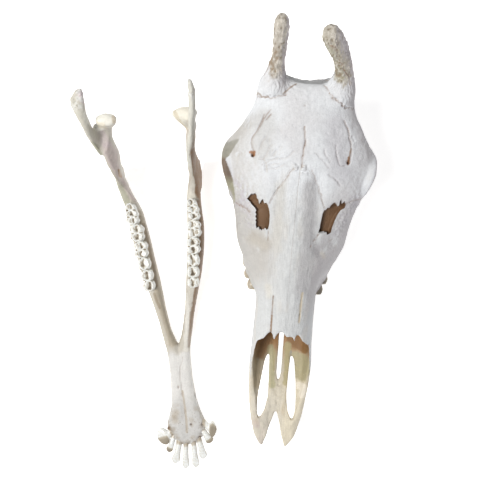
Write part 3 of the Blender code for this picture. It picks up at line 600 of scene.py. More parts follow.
@dataclass(frozen=True)
class Zone:
    """Where something acts on a bone, with soft borders.

    Limits of two values are where the share is 0 and where it is 1. Limits of four values rise over the
    first two and fall over the last two. The shares of all limits are multiplied.

    Args:
        parts: the regions of the half to which it is confined.
        x: limits along x.
        y: limits along y.
        z: limits along z.
        side: limits of the distance from the middle.
        left: limits of how far the bone faces left.
        up: limits of how far it faces up.
        noise: a pattern that breaks it up.
        patch: limits of that pattern.
    """

    parts: tuple[str, ...] = ()
    x: Limits = ()
    y: Limits = ()
    z: Limits = ()
    side: Limits = ()
    left: Limits = ()
    up: Limits = ()
    noise: Noise | None = None
    patch: Limits = ()


@dataclass(frozen=True)
class Relief:
    """Bone cut to a depth within a zone, evenly or by a pattern."""

    depth: float
    noise: Noise | None
    zone: Zone = Zone()


@dataclass(frozen=True)
class Layer:
    """A colour laid over a zone at a strength."""

    colour: str
    strength: float
    zone: Zone


@dataclass
class Skin:
    """The corners of a mesh: where they lie, where they face, and to which regions they belong."""

    places: Array
    facing: Array
    parts: dict[str, Array] = field(default_factory=dict)

    def share(self, zone: Zone) -> Array:
        """How far each corner belongs to a zone, from 0 to 1."""
        x, y, z = self.places.T
        share = np.ones(len(x))
        for part in zone.parts:
            share = share * self.parts[part]
        readings = [(x, zone.x), (y, zone.y), (z, zone.z), (np.abs(x), zone.side),
                    (self.facing[:, 0], zone.left), (self.facing[:, 2], zone.up)]
        if zone.noise:
            readings.append((zone.noise.at(self.places), zone.patch))
        for values, limits in readings:
            if limits:
                share = share * fade(values, limits[0], limits[1])
            if len(limits) > 2:
                share = share * fade(values, limits[3], limits[2])
        return share


class Paint:
    """The colour of each corner of a bone, laid on in layers."""

    def __init__(self, count: int, ground: str) -> None:
        """Start with one ground colour on a number of corners."""
        self.colours = np.tile(np.array(linear(ground)), (count, 1))

    def lay(self, colour: str, share: Array) -> None:
        """Lay a colour over what is there, by a share at each corner."""
        self.colours += (np.array(linear(colour)) - self.colours) * np.clip(share, 0.0, 1.0)[:, None]

    def lay_along(self, values: Array, stops: Sequence[tuple[float, str]], share: Array) -> None:
        """Lay a run of colours, each at its own value, over what is there."""
        keys = [value for value, _ in stops]
        shades = np.array([linear(colour) for _, colour in stops])
        run = np.column_stack([np.interp(values, keys, shades[:, index]) for index in range(4)])
        self.colours += (run - self.colours) * np.clip(share, 0.0, 1.0)[:, None]

    def lay_all(self, layers: Iterable[Layer], skin: Skin) -> None:
        """Lay layer after layer over what is there."""
        for layer in layers:
            self.lay(layer.colour, layer.strength * skin.share(layer.zone))

    def lay_tones(self, tones: Iterable[Tone], skin: Skin) -> None:
        """Lay patch after patch over what is there."""
        for tone in tones:
            self.lay(tone.colour, tone.share(skin.places, skin.facing))

    def keep(self, mesh: Mesh) -> None:
        """Leave the colours on the mesh for the finish to read."""
        layer = mesh.color_attributes.get("tint") or mesh.color_attributes.new("tint", "FLOAT_COLOR", "POINT")
        layer.data.foreach_set("color", self.colours.astype(np.float32).ravel())


def linear(colour: str) -> tuple[float, float, float, float]:
    """A colour written as sRGB hex digits, as the linear values that a shader takes."""
    parts = [int(colour[index:index + 2], 16) / 255 for index in (1, 3, 5)]
    return (*[part / 12.92 if part <= 0.04045 else ((part + 0.055) / 1.055) ** 2.4 for part in parts], 1.0)


def blank(name: str, refraction: float
          ) -> tuple[Material, Tree, bpy.types.Node, Socket]:
    """A new material with its node tree, its shader and the places on the object."""
    made = bpy.data.materials.new(name)
    made.use_nodes = True
    tree = made.node_tree
    shader = tree.nodes["Principled BSDF"]
    shader.inputs["IOR"].default_value = refraction
    return made, tree, shader, add_node(tree, "ShaderNodeTexCoord").outputs["Object"]


def add_node(tree: Tree, kind: str, settings: dict | None = None,
             inputs: dict | None = None) -> bpy.types.Node:
    """Add a node with its settings and its inputs.

    Args:
        tree: the node tree.
        kind: Blender's name of the node.
        settings: the node's own properties.
        inputs: for a socket's name or number, a value or the output that is linked to it.

    Returns:
        The node.
    """
    made = tree.nodes.new(kind)
    for name, value in (settings or {}).items():
        setattr(made, name, value)
    for name, value in (inputs or {}).items():
        if isinstance(value, Socket):
            tree.links.new(value, made.inputs[name])
        else:
            made.inputs[name].default_value = value
    return made


def blended(tree: Tree, share: Socket, under: object, over: object) -> Socket:
    """One colour laid over another by a share."""
    made = add_node(tree, "ShaderNodeMix", {"data_type": "RGBA"}, {0: share, 6: under, 7: over})
    return made.outputs[2]


def ranged(tree: Tree, value: Socket, low: float, high: float,
           bottom: float = 0.0, top: float = 1.0) -> Socket:
    """A value stretched from one range to another, with its ends held."""
    made = add_node(tree, "ShaderNodeMapRange", {"clamp": True, "interpolation_type": "SMOOTHSTEP"},
                    {"Value": value, "From Min": low, "From Max": high, "To Min": bottom, "To Max": top})
    return made.outputs[0]


def maths(tree: Tree, operation: str, first: object, second: object) -> Socket:
    """Two values put together."""
    made = add_node(tree, "ShaderNodeMath", {"operation": operation}, {0: first, 1: second})
    return made.outputs[0]


@dataclass(frozen=True)
class BoneFinish:
    """Dry compact bone, boiled and sun bleached: chalky and dull, with fine pores and a long grain.

    Args:
        name: the material's name.
        suture: the reddish dirt in sutures and vessel grooves.
        soil: the dirt in the pits of rough bone.
        roughness: how matt the bone is.
        relief: depth of the finest relief, in metres.
        refraction: how strongly it bends light.
    """

    name: str
    suture: str = "#86674f"
    soil: str = "#86735a"
    roughness: float = 0.6
    relief: float = 0.0009
    refraction: float = 1.54

    def material(self) -> Material:
        """Build the finish once."""
        made, tree, shader, place = blank(self.name, self.refraction)

        def cloud(width: float, detail: float, rough: float = 0.55) -> Socket:
            """Noise with waves of a width in metres."""
            node = add_node(tree, "ShaderNodeTexNoise", None,
                            {"Vector": place, "Scale": 1.0 / width, "Detail": detail, "Roughness": rough})
            return node.outputs["Fac"]

        def felt(name: str, socket: str = "Fac") -> Socket:
            """A value or colour that the carving left on the bone."""
            return add_node(tree, "ShaderNodeAttribute", {"attribute_name": name}).outputs[socket]

        # Clouds of 9 mm are the mottling that the eye reads as dry bone. The grain is 2.6 mm wide and
        # the long fibres 2.2 mm, several times the real ones, so that they show in the image
        mottle = cloud(0.009, 4.0, 0.6)
        grain = cloud(0.0026, 3.0, 0.7)
        along = add_node(tree, "ShaderNodeMapping", None,
                         {"Vector": place, "Scale": (1.0 / 0.0022, 1.0 / 0.03, 1.0 / 0.004)}).outputs[0]
        fibre = add_node(tree, "ShaderNodeTexNoise", None,
                         {"Vector": along, "Scale": 1.0, "Detail": 3.0}).outputs["Fac"]
        pores = add_node(tree, "ShaderNodeTexVoronoi", {"feature": "F1"},
                         {"Vector": place, "Scale": 1.0 / 0.0034, "Randomness": 1.0}).outputs["Distance"]
        fibres = maths(tree, "POWER", ranged(tree, fibre, 0.3, 0.7, 0.93, 1.04), felt("streak"))
        bright = maths(tree, "MULTIPLY", ranged(tree, mottle, 0.3, 0.7, 0.94, 1.03),
                       ranged(tree, grain, 0.28, 0.72, 0.95, 1.04))
        bright = maths(tree, "MULTIPLY", bright, fibres)
        colour = add_node(tree, "ShaderNodeVectorMath", {"operation": "SCALE"},
                          {0: felt("tint", "Color"), "Scale": bright}).outputs[0]
        soiled = maths(tree, "MULTIPLY", felt("soil"), ranged(tree, grain, 0.35, 0.6))
        colour = blended(tree, soiled, colour, linear(self.soil))
        dark = maths(tree, "MULTIPLY", felt("stain"), ranged(tree, grain, 0.25, 0.55, 0.6, 1.0))
        colour = blended(tree, dark, colour, linear(self.suture))
        specks = maths(tree, "MULTIPLY", ranged(tree, pores, 0.26, 0.1), ranged(tree, mottle, 0.44, 0.6))
        specks = maths(tree, "MULTIPLY", specks, felt("porous"))
        colour = blended(tree, maths(tree, "MULTIPLY", specks, 0.6), colour, linear(self.soil))
        tree.links.new(colour, shader.inputs["Base Color"])
        tree.links.new(ranged(tree, mottle, 0.3, 0.7, self.roughness - 0.08, self.roughness + 0.12),
                       shader.inputs["Roughness"])
        relief = maths(tree, "ADD", maths(tree, "MULTIPLY", mottle, 0.9), grain)
        relief = maths(tree, "ADD", relief, maths(tree, "MULTIPLY", fibre, felt("streak")))
        relief = maths(tree, "SUBTRACT", relief, maths(tree, "MULTIPLY", specks, 0.9))
        bump = add_node(tree, "ShaderNodeBump", None,
                        {"Height": relief, "Strength": 0.8, "Distance": self.relief})
        tree.links.new(bump.outputs[0], shader.inputs["Normal"])
        return made


@dataclass(frozen=True)
class EnamelFinish:
    """Tooth enamel with worn dentine: white and glassy ridges, grey-brown hollows, a stained neck, and
    painted shade along the edges of the front teeth.

    Args:
        name: the material's name.
        enamel: the white of the ridges.
        ivory: its warmer clouds.
        dentine: the worn bone colour between the ridges.
        hollow: the dirt in the hollows.
        neck: the cement at the gum, also laid as painted shade along the sides and ends of the front teeth
            and between their roots.
        refraction: how strongly it bends light.
    """

    name: str = "tooth_enamel"
    enamel: str = "#f1f5f5"
    ivory: str = "#e3e3dc"
    dentine: str = "#b3aa98"
    hollow: str = "#64594a"
    neck: str = "#a99a80"
    refraction: float = 1.62

    def material(self) -> Material:
        """Build the finish once."""
        made, tree, shader, place = blank(self.name, self.refraction)
        # Mottling of 3 mm gives each tooth its own warmer patches
        mottle = add_node(tree, "ShaderNodeTexNoise", None,
                          {"Vector": place, "Scale": 1.0 / 0.003, "Detail": 3.0}).outputs["Fac"]
        hollow = add_node(tree, "ShaderNodeAttribute", {"attribute_name": "hollow"}).outputs["Fac"]
        neck = add_node(tree, "ShaderNodeAttribute", {"attribute_name": "neck"}).outputs["Fac"]
        colour = blended(tree, ranged(tree, mottle, 0.35, 0.65), linear(self.enamel), linear(self.ivory))
        colour = blended(tree, ranged(tree, hollow, 0.2, 0.55), colour, linear(self.dentine))
        colour = blended(tree, ranged(tree, hollow, 0.55, 0.95), colour, linear(self.hollow))
        # The neck's colour: the cement at the gum, and painted shade on the front teeth
        colour = blended(tree, ranged(tree, neck, 0.2, 0.9, 0.0, 0.8), colour, linear(self.neck))
        tree.links.new(colour, shader.inputs["Base Color"])
        tree.links.new(ranged(tree, hollow, 0.1, 0.6, 0.26, 0.6), shader.inputs["Roughness"])
        bump = add_node(tree, "ShaderNodeBump", None, {"Height": mottle, "Strength": 0.4, "Distance": 0.0003})
        tree.links.new(bump.outputs[0], shader.inputs["Normal"])
        return made


@dataclass(frozen=True)
class TableFinish:
    """Opal acrylic over a light box: an even white ground that takes only a trace of shadow.

    Args:
        name: the material's name.
        colour: the white of the sheet.
        glow: how much light comes through it.
        refraction: how strongly it bends light.
    """

    name: str = "opal_acrylic"
    colour: str = "#f8f8f8"
    glow: float = 0.68
    refraction: float = 1.5

    def material(self) -> Material:
        """Build the finish once."""
        made, tree, shader, place = blank(self.name, self.refraction)
        # Faint clouds of 20 mm in the sheen keep the sheet from looking like empty space
        haze = add_node(tree, "ShaderNodeTexNoise", None,
                        {"Vector": place, "Scale": 1.0 / 0.02, "Detail": 3.0}).outputs["Fac"]
        tree.links.new(ranged(tree, haze, 0.2, 0.8, 0.85, 0.95), shader.inputs["Roughness"])
        shader.inputs["Base Color"].default_value = linear(self.colour)
        shader.inputs["Emission Color"].default_value = linear(self.colour)
        shader.inputs["Emission Strength"].default_value = self.glow
        return made


def set_value(mesh: Mesh, name: str, values: Array) -> None:
    """Leave a value on each corner for the finish to read."""
    layer = mesh.attributes.get(name) or mesh.attributes.new(name, "FLOAT", "POINT")
    layer.data.foreach_set("value", np.clip(values, 0.0, 1.0).astype(np.float32))


def laid(mesh: Mesh, name: str, place: Placement, material: Material,
         node: str = "") -> None:
    """Lay a mesh down as a piece, with nothing below the table.

    Args:
        mesh: the piece in the frame of its half.
        name: the piece's name.
        place: how the half lies.
        material: its finish.
        node: the node that it stands for, if it does.
    """
    mesh.transform(place.matrix)
    places = corners(mesh)
    places[:, 2] = np.maximum(places[:, 2], 0.0)
    move_corners(mesh, places)
    mesh.name = name
    mesh.materials.clear()
    mesh.materials.append(material)
    mesh.shade_smooth()
    made = in_scene(mesh, name)
    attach(made, BODY)
    if node:
        mesh.set_sharp_from_angle(angle=EDGE_ANGLE)
        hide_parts(node)
    LOG.info("%s: %d faces", name, len(mesh.polygons))


@dataclass
class Half:
    """One half of the skull: what its skin is melted from, and how that is carved, coloured and laid down.

    Args:
        materials: the finishes by slot.
        place: how it lies.
        voxel: size of the skin's faces.
        swell: how far the bones grow before they melt, which the smoothing takes back.
        ground: the colour below all layers.
        relief: the rough bone.
        layers: the broad colours.
    """

    materials: dict[Slot, Material]
    place: Placement = CRANIUM_PLACE
    voxel: float = 0.0016
    swell: float = 0.0003
    ground: str = "#ffffff"
    relief: tuple[Relief, ...] = ()
    layers: tuple[Layer, ...] = ()

    def regions(self, places: Array, facing: Array) -> dict[str, Array]:
        """How far each corner belongs to each region that has a name."""
        raise NotImplementedError

    def marks(self) -> list[Mark]:
        """The grooves, sutures and holes."""
        raise NotImplementedError

    def painted(self, skin: Skin) -> Paint:
        """The colours of a bone."""
        raise NotImplementedError

    def values(self, skin: Skin) -> dict[str, Array]:
        """What else the finish reads: how soiled, how streaked and how porous the bone is."""
        raise NotImplementedError

    def waves(self, skin: Skin) -> Array:
        """The depth of relief that follows a rule of its own."""
        return np.zeros(len(skin.places))

    def bone(self, node: str) -> Mesh:
        """A node's mesh with its corners merged, in this half's own frame."""
        form = bmesh.new()
        form.from_mesh(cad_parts[node].data)
        bmesh.ops.remove_doubles(form, verts=form.verts, dist=WELD)
        bmesh.ops.transform(form, matrix=self.place.matrix.inverted(), verts=form.verts)
        return taken(form)

    def joined(self, meshes: Iterable[Mesh], extra: Iterable[Mesh] = ()) -> Mesh:
        """Melt bones into one smooth skin.

        Args:
            meshes: the closed bones.
            extra: small forms to add as they are.

        Returns:
            The skin.
        """
        mesh = melted([swollen(mesh, self.swell) for mesh in meshes] + list(extra), self.voxel)
        edges = links(mesh)
        near = relaxed(corners(mesh), edges, SMOOTH_ROUNDS[0])
        move = relaxed(near, edges, SMOOTH_ROUNDS[1]) - near
        length = np.maximum(np.linalg.norm(move, axis=1, keepdims=True), 1e-9)
        move *= np.minimum(length, self.swell * SMOOTH_REACH) / length
        move_corners(mesh, relaxed(near + move, edges, SMOOTH_ROUNDS[2]))
        return mesh

    def carve(self, mesh: Mesh, depth: Array) -> None:
        """Press the skin in by a depth at each corner."""
        move_corners(mesh, corners(mesh) - outward(mesh) * depth[:, None])

    def read(self, mesh: Mesh) -> Skin:
        """The corners of a mesh with the regions that they belong to."""
        places, facing = corners(mesh), outward(mesh)
        return Skin(places, facing, self.regions(places, facing))

    def scored(self, skin: Skin) -> tuple[Array, Array]:
        """How deep the marks cut each corner, and how far they stain it."""
        depth, stain = np.zeros((2, len(skin.places)))
        for mark in self.marks():
            cuts, dirt = mark.share(skin.places, skin.facing)
            depth += mark.depth * cuts
            stain = np.maximum(stain, dirt)
        return depth, stain

    def carved(self, mesh: Mesh) -> None:
        """Carve the marks and the relief into the skin."""
        skin = self.read(mesh)
        depth = self.scored(skin)[0] + self.waves(skin)
        for relief in self.relief:
            pattern = relief.noise.at(skin.places) if relief.noise else 1.0
            depth += relief.depth * skin.share(relief.zone) * pattern
        self.carve(mesh, depth)

    def finished(self, mesh: Mesh, name: str, node: str, slot: Slot) -> None:
        """Clean one bone, leave its colours and values on it, and lay it down for its node."""
        largest_body(mesh)
        skin = self.read(mesh)
        self.painted(skin).keep(mesh)
        for value, shares in {"stain": self.scored(skin)[1], **self.values(skin)}.items():
            set_value(mesh, value, shares)
        laid(mesh, name, self.place, self.materials[slot], node)


@dataclass
class Cranium(Half):
    """The cranium: nine bones in one skin, parted along their sutures."""

    # The box that takes the plain cheek teeth off, and where the six teeth stand
    tooth_box: tuple[Spot, Spot, Spot] = ((0.04, 0.095), (0.262, 0.42), (-0.05, 0.019))
    tooth_rows: tuple[float, ...] = (0.2765, 0.296, 0.3165, 0.3405, 0.369, 0.398)

    # Sutures between the pieces
    middle: Suture = Suture((0.0, 0.22, 0.1), (1.0, 0.0, 0.0), (0.15, 0.27), 0.0006, 0.007, 3)
    maxilla_back: Suture = Suture((0.0, 0.391, 0.085), (0.0, 0.887, 0.461), (0.135, 0.26), 0.0013, 0.006, 4)
    premaxilla_back: Suture = Suture((0.0, 0.131, 0.045), (0.0, 0.921, -0.389), (0.11, 0.28), 0.001, 0.006, 5)
    nasal_outline: Path = (
        (0.0, 0.448), (0.014, 0.4455), (0.027, 0.423), (0.0425, 0.3955), (0.039, 0.358),
        (0.0365, 0.343), (0.0225, 0.262), (0.0205, 0.227), (0.0202, 0.17), (0.0, 0.17))
    roof: Path = (
        (0.1, 0.048), (0.15, 0.086), (0.183, 0.101), (0.25, 0.121), (0.305, 0.135), (0.35, 0.151),
        (0.405, 0.177), (0.44, 0.196), (0.468, 0.209), (0.5, 0.219), (0.56, 0.231))
    nasal_depth: float = 0.022
    horn_foot: Path = (
        (0.033, 0.556), (0.0375, 0.5525), (0.044, 0.5445), (0.055, 0.5385), (0.067, 0.5395),
        (0.076, 0.547), (0.086, 0.56), (0.086, 0.59), (0.064, 0.6), (0.042, 0.6),
        (0.028, 0.59), (0.023, 0.57))
    horn_head: Path = (
        (0.0006, 0.56), (0.01, 0.545), (0.03, 0.54), (0.055, 0.538), (0.072, 0.54),
        (0.086, 0.547), (0.096, 0.56), (0.096, 0.61), (0.064, 0.64), (0.042, 0.64),
        (0.01, 0.625), (0.0006, 0.6))
    horn_levels: tuple[Point, ...] = (
        (0.19, 0.7, 0.0), (0.2, 0.96, 0.0), (0.212, 1.0, 0.0), (0.24, 1.0, 0.0), (0.262, 1.0, 1.0),
        (0.4, 1.0, 1.0))
    # The axes of the horn cores, right and left, with the height at which the rough core begins
    horn_axes: tuple[tuple[Point, ...], tuple[Point, ...]] = (
        ((-0.049, 0.563, 0.22), (-0.048, 0.573, 0.236), (-0.046, 0.585, 0.258), (-0.045, 0.596, 0.315),
         (-0.0452, 0.6003, 0.347)),
        ((0.051, 0.564, 0.22), (0.0508, 0.572, 0.236), (0.0455, 0.585, 0.268), (0.033, 0.59, 0.298),
         (0.015, 0.5925, 0.34)))
    rough_from: float = 0.246

    # Broad hollows of the roof as (path, width, depth): before the gaps, and the sides of the vault
    hollows: tuple[tuple[Path, float, float], ...] = (
        (((0.064, 0.348), (0.055, 0.343), (0.046, 0.334)), 0.0095, 0.0068),
        (((0.03, 0.435), (0.032, 0.39), (0.035, 0.345)), 0.0095, 0.0036))
    # The middle line of the pitted bone before the sockets
    tear_line: Path = ((0.096, 0.419), (0.086, 0.406), (0.078, 0.385), (0.074, 0.368))
    # The inner edge of the greys and brown painted on the right socket's rim, partly painted shade and partly
    # the bone's brown, as (y, x)
    orbit_edge: Path = (
        (0.395, -0.094), (0.4195, -0.0985), (0.43, -0.1006), (0.4455, -0.1076), (0.456, -0.1135),
        (0.46, -0.113), (0.463, -0.1089), (0.4752, -0.1019), (0.4847, -0.0948), (0.49, -0.094))
    # The planes of the roof over the two gaps, found while the skull is built
    planes: list[Array] = field(default_factory=list)

    # The hollow of the nose as (y, half width, floor, ceiling), and the eye sockets
    hollow: tuple[tuple[float, float, float, float], ...] = (
        (-0.02, 0.03, 0.015, 0.08), (0.06, 0.038, 0.02, 0.1), (0.1, 0.044, 0.022, 0.12),
        (0.15, 0.0462, 0.023, 0.13), (0.186, 0.0445, 0.024, 0.095), (0.25, 0.0425, 0.026, 0.115),
        (0.31, 0.048, 0.03, 0.13), (0.35, 0.064, 0.038, 0.144), (0.385, 0.074, 0.054, 0.16),
        (0.418, 0.068, 0.086, 0.168))
    socket: tuple[Point, Point] = ((0.1295, 0.464, 0.139), (0.05, 0.0325, 0.03))
    # The gaps beside the nasal bones with their frayed rims, the animal's right and left. A plate
    # that rests on the bone round them closes the plain gaps before these are cut
    frayed: tuple[Path, Path] = (
        ((-0.077, 0.4032), (-0.0737, 0.4062), (-0.0701, 0.4101), (-0.0669, 0.4098), (-0.0641, 0.4109),
         (-0.0618, 0.408), (-0.0612, 0.4043), (-0.0588, 0.402), (-0.0569, 0.3955), (-0.055, 0.3987),
         (-0.0538, 0.4008), (-0.0519, 0.4025), (-0.0505, 0.3998), (-0.0491, 0.3966), (-0.0462, 0.3975),
         (-0.0438, 0.395), (-0.0411, 0.3892), (-0.0389, 0.3803), (-0.0386, 0.37), (-0.039, 0.364),
         (-0.0402, 0.3597), (-0.0423, 0.3578), (-0.0448, 0.3622), (-0.0462, 0.358), (-0.048, 0.3596),
         (-0.05, 0.357), (-0.0518, 0.3592), (-0.0533, 0.3578), (-0.0551, 0.3648), (-0.0565, 0.3618),
         (-0.0584, 0.3606), (-0.06, 0.3668), (-0.059, 0.3694), (-0.0612, 0.372), (-0.0594, 0.3748),
         (-0.0616, 0.3776), (-0.06, 0.3806), (-0.0622, 0.3834), (-0.0606, 0.3864), (-0.0634, 0.3905),
         (-0.0684, 0.3945), (-0.0713, 0.3985)),
        ((0.0693, 0.412), (0.0712, 0.407), (0.0735, 0.4078), (0.0751, 0.4105), (0.0785, 0.4066),
         (0.0772, 0.4008), (0.0711, 0.3968), (0.0673, 0.3908), (0.0642, 0.382), (0.0615, 0.3723),
         (0.0603, 0.3631), (0.057, 0.36), (0.0541, 0.3586), (0.052, 0.3634), (0.05, 0.3612),
         (0.0478, 0.3648), (0.0458, 0.3626), (0.044, 0.366), (0.0419, 0.3634), (0.0409, 0.3708),
         (0.0419, 0.3801), (0.0425, 0.3881), (0.0448, 0.3938), (0.047, 0.394), (0.0497, 0.398),
         (0.052, 0.3976), (0.0539, 0.401), (0.0575, 0.4052), (0.0601, 0.4066), (0.0627, 0.4049),
         (0.065, 0.4018), (0.0672, 0.403), (0.0676, 0.4085)))
    frayed_depth: float = 0.0086
    plate_rim: Path = (
        (0.0375, 0.3535), (0.0355, 0.38), (0.0375, 0.4), (0.05, 0.406), (0.064, 0.4165),
        (0.074, 0.4155), (0.083, 0.408), (0.08, 0.3975), (0.069, 0.385), (0.065, 0.36),
        (0.06, 0.352))
    plate_sink: float = 0.0003
    plate_depth: float = 0.004
    # The brown scroll bone that shows in the gaps: how far below the roof it lies, and where
    scroll_drop: float = 0.0105
    scroll_middle: Spot = (0.054, 0.383)
    scroll_reach: Spot = (0.023, 0.033)
    scroll_line: Path = ((0.05, 0.365), (0.051, 0.39), (0.068, 0.403))
    scroll_depth: float = 0.0035
    scroll_wave: float = 0.0012
    scroll_fall: float = 0.006
    # The holes of the brow vessels on both sides of the roof
    brow_hole: Spot = (0.0722, 0.4635)
    # Rays round the feet of the horn cores: how many, how deep, and the middle of a foot
    ray_count: int = 31
    ray_depth: float = 0.0005
    foot_middle: Spot = (0.049, 0.573)
    root_bump: float = 0.0014
    grain_depth: float = 0.00055

    # The patterns of the horn cores and of the muzzle
    fine: Noise = Noise(0.0028, 2, 45, (1.0, 1.0, 0.45))
    crumbs: Noise = Noise(0.003, 2, 59, (1.0, 1.0, 0.5))
    grains: Noise = Noise(0.0045, 2, 54, (1.0, 1.0, 0.5))
    veins: Noise = Noise(0.009, 2, 58, (1.0, 0.35, 1.0))
    streaks: Noise = Noise(0.004, 2, 55, (1.0, 0.15, 1.0))
    # Soft waves of the horn cores, the pitted bone before the sockets, the nape, the strut of the
    # nose, the toes, long fibres, dents of the brow, and a light unevenness all over
    relief: tuple[Relief, ...] = (
        Relief(-0.0007, Noise(0.008, 2, 31, (1.0, 1.0, 0.6)), Zone(("core",))),
        Relief(0.0017, Noise(0.004, 2, 35), Zone(("tear", "top"))),
        Relief(0.0008, Noise(0.006, 3, 37), Zone(y=(0.565, 0.585), z=(0.215, 0.215 - HARD))),
        Relief(0.0015, Noise(0.0045, 2, 38), Zone(("strut",), up=(0.1, 0.4))),
        Relief(0.0011, Noise(0.0085, 2, 36, (1.0, 0.4, 1.0)), Zone(y=(0.12, 0.09), up=(0.0, 0.5))),
        Relief(0.00018, Noise(0.005, 2, 40, (1.0, 0.18, 0.5)), Zone(("top",), y=(0.46, 0.4))),
        Relief(0.0009, None, Zone(("top",), y=(0.43, 0.46, 0.5, 0.54), noise=Noise(0.01, 2, 42),
                                  patch=(0.35, 0.85))),
        Relief(0.00022, Noise(0.0045, 2, 39)),
        Relief(0.00035, Noise(0.022, 2, 41)))
    # The yellowish nape, the soiled lower half of each horn core, and the long fibres of the nasal vault
    nape: Zone = Zone(y=(0.575, 0.6), z=(0.21, 0.21 - HARD))
    soiled: Zone = Zone(y=(0.53, 0.53 + HARD), z=(0.285, 0.246), noise=Noise(0.016, 1, 56), patch=(-0.3, 0.5))
    vault: Zone = Zone(side=(0.04, 0.03), up=(0.3, 0.7), y=(0.46, 0.42))
    ground: str = "#e1e5e9"
    layers: tuple[Layer, ...] = (
        # Clouds, the duller snout and the shaded flanks
        Layer("#d4d3d5", 0.7, Zone(noise=Noise(0.045, 2, 52), patch=(-0.5, 0.9))),
        Layer("#d0d3d4", 0.9, Zone(y=(0.44, 0.36))),
        Layer("#d6d4cf", 0.5, Zone(y=(0.44, 0.36), noise=Noise(0.012, 2, 53, (1.0, 0.3, 1.0)),
                                   patch=(0.0, 0.9))),
        Layer("#c1bec0", 0.9, Zone(left=(0.2, 0.75), y=(0.2, 0.29))),
        Layer("#bebbb6", 0.85, Zone(left=(-0.1, -0.65), y=(0.25, 0.31, 0.5, 0.53))),
        # The warmer toes of the muzzle, with veins
        Layer("#d8d2c3", 1.0, Zone(y=(0.15, 0.105), z=(0.075, 0.06))),
        Layer("#e0d8c3", 1.0, Zone(y=(0.15, 0.105), z=(0.075, 0.06), x=(0.0, 0.02))),
        Layer("#cfc3ab", 0.75, Zone(y=(0.15, 0.105), z=(0.075, 0.06), noise=veins, patch=(0.25, 0.85))),
        Layer("#c8bbb4", 0.7, Zone(y=(0.055, 0.03), x=(-0.01, -0.024), noise=veins, patch=(-0.5, 0.4))),
        # The underside and the nape
        Layer("#cbc3b4", 0.6, Zone(up=(-0.1, -0.6))),
        Layer("#c9bfa9", 0.6, nape),
        # The stems of the horn cores, greener inside, paler at the tips, with dark and light crumbs
        Layer("#b6b0a5", 1.0, Zone(("stem",))),
        Layer("#a8a792", 0.7, Zone(("stem",), x=(0.0, 0.01), left=(0.3, -0.1))),
        Layer("#bab4a9", 0.9, Zone(z=(0.31, 0.345))),
        Layer("#7f725f", 0.75, Zone(("stem",), noise=crumbs, patch=(0.1, 0.8))),
        Layer("#e0dbd2", 0.6, Zone(("stem",), noise=crumbs, patch=(-0.15, -0.75))),
        Layer("#93806a", 0.65, Zone(("stem",), left=(0.1, -0.5), z=(0.318, 0.28), noise=crumbs,
                                    patch=(-0.6, 0.5))),
        # Painted shade on the steep crest between the horn cores, their pale left sides, and the lilac pitted
        # bone
        Layer("#8f9091", 0.9, Zone(z=(0.186, 0.208, 0.227, 0.2315), y=(0.558, 0.566),
                                   side=(0.046, 0.026))),
        Layer("#d3cdd1", 0.8, Zone(("core",), left=(0.55, 0.85))),
        Layer("#c3bec8", 0.6, Zone(("tear",), noise=Noise(0.006, 2, 60), patch=(-0.4, 0.4))))
    # Colours along the inside of the nose by y, a browner left wall, and those of the orbit's rim: greys and
    # a brown strip, partly painted shade of the socket and of the bone below the roof's edge, partly the
    # bone's brown
    nose_run: Run = (
        (0.06, "#e2dac8"), (0.1, "#cdc3a6"), (0.15, "#b9a880"), (0.172, "#ab8455"), (0.2, "#a3733c"),
        (0.33, "#73563b"), (0.42, "#775a3f"))
    nose_wall: Layer = Layer("#8f6c45", 1.0, Zone(("inner",), x=(0.012, 0.02), y=(0.165, 0.175, 0.25, 0.3)))
    orbit_shade_run: Run = (
        (0.4, "#9d9b83"), (0.425, "#97947c"), (0.436, "#6f5d4c"), (0.457, "#6f5c49"), (0.462, "#928f80"),
        (0.486, "#a3a29a"))
    # The heights at which marks lie on the roof
    on_roof: Spot = (0.15, 0.3)

    def plate(self, ground: BVHTree, sign: float) -> tuple[Mesh, Array]:
        """A plate that closes a gap beside the nasal bones, flush with the bone round it.

        Args:
            ground: the bones that it rests on.
            sign: 1 on the animal's left, -1 on its right.

        Returns:
            The closed plate, and its plane as height at the origin and rise along x and y.
        """
        mesh = prism([(sign * x, y) for x, y in self.plate_rim], -1.0, 0.0)
        places = corners(mesh)
        upper = places[:, 2] > -0.5
        struck = [ground.ray_cast(Vector((x, y, FAR)), Vector((0.0, 0.0, -1.0)))[0].z for x, y, _ in places]
        places[:, 2] = np.array(struck) - np.where(upper, self.plate_sink, self.plate_depth)
        move_corners(mesh, places)
        table = np.column_stack((np.ones(int(upper.sum())), places[upper, :2]))
        plane = np.linalg.lstsq(table, places[upper, 2], rcond=None)[0]
        return mesh, plane

    def frayed_cutter(self, outline: Sequence[Spot], plane: Array) -> Mesh:
        """The space over a gap, down to a little below the roof's plane."""
        mesh = prism(outline, 0.0, FAR)
        places = corners(mesh)
        low = places[:, 2] < FAR / 2
        places[low, 2] = plane[0] + places[low, :2] @ plane[1:] - self.frayed_depth
        move_corners(mesh, places)
        return mesh

    def scroll(self, sign: float, plane: Array) -> Mesh:
        """The thin waved bone that shows through a gap beside the nasal bones."""
        form = bmesh.new()
        bmesh.ops.create_grid(form, x_segments=24, y_segments=14, size=1.0)
        (across, along), (wide, long) = self.scroll_middle, self.scroll_reach
        for vert in form.verts:
            x, y = across + wide * vert.co.x, along + long * vert.co.y
            # Waves 5.5 mm wide, whose crests swing aside once in 57 mm
            wave = self.scroll_wave * math.sin(x * 1150.0 + 1.5 * math.sin(y * 110.0))
            drop = self.scroll_drop + wave + self.scroll_fall * fade(vert.co.x, -0.1, -0.9)
            vert.co = (sign * x, y, plane[0] + plane[1] * sign * x + plane[2] * y - drop)
        thicken(form, (0.0, 0.0, -self.scroll_depth))
        return taken(form)

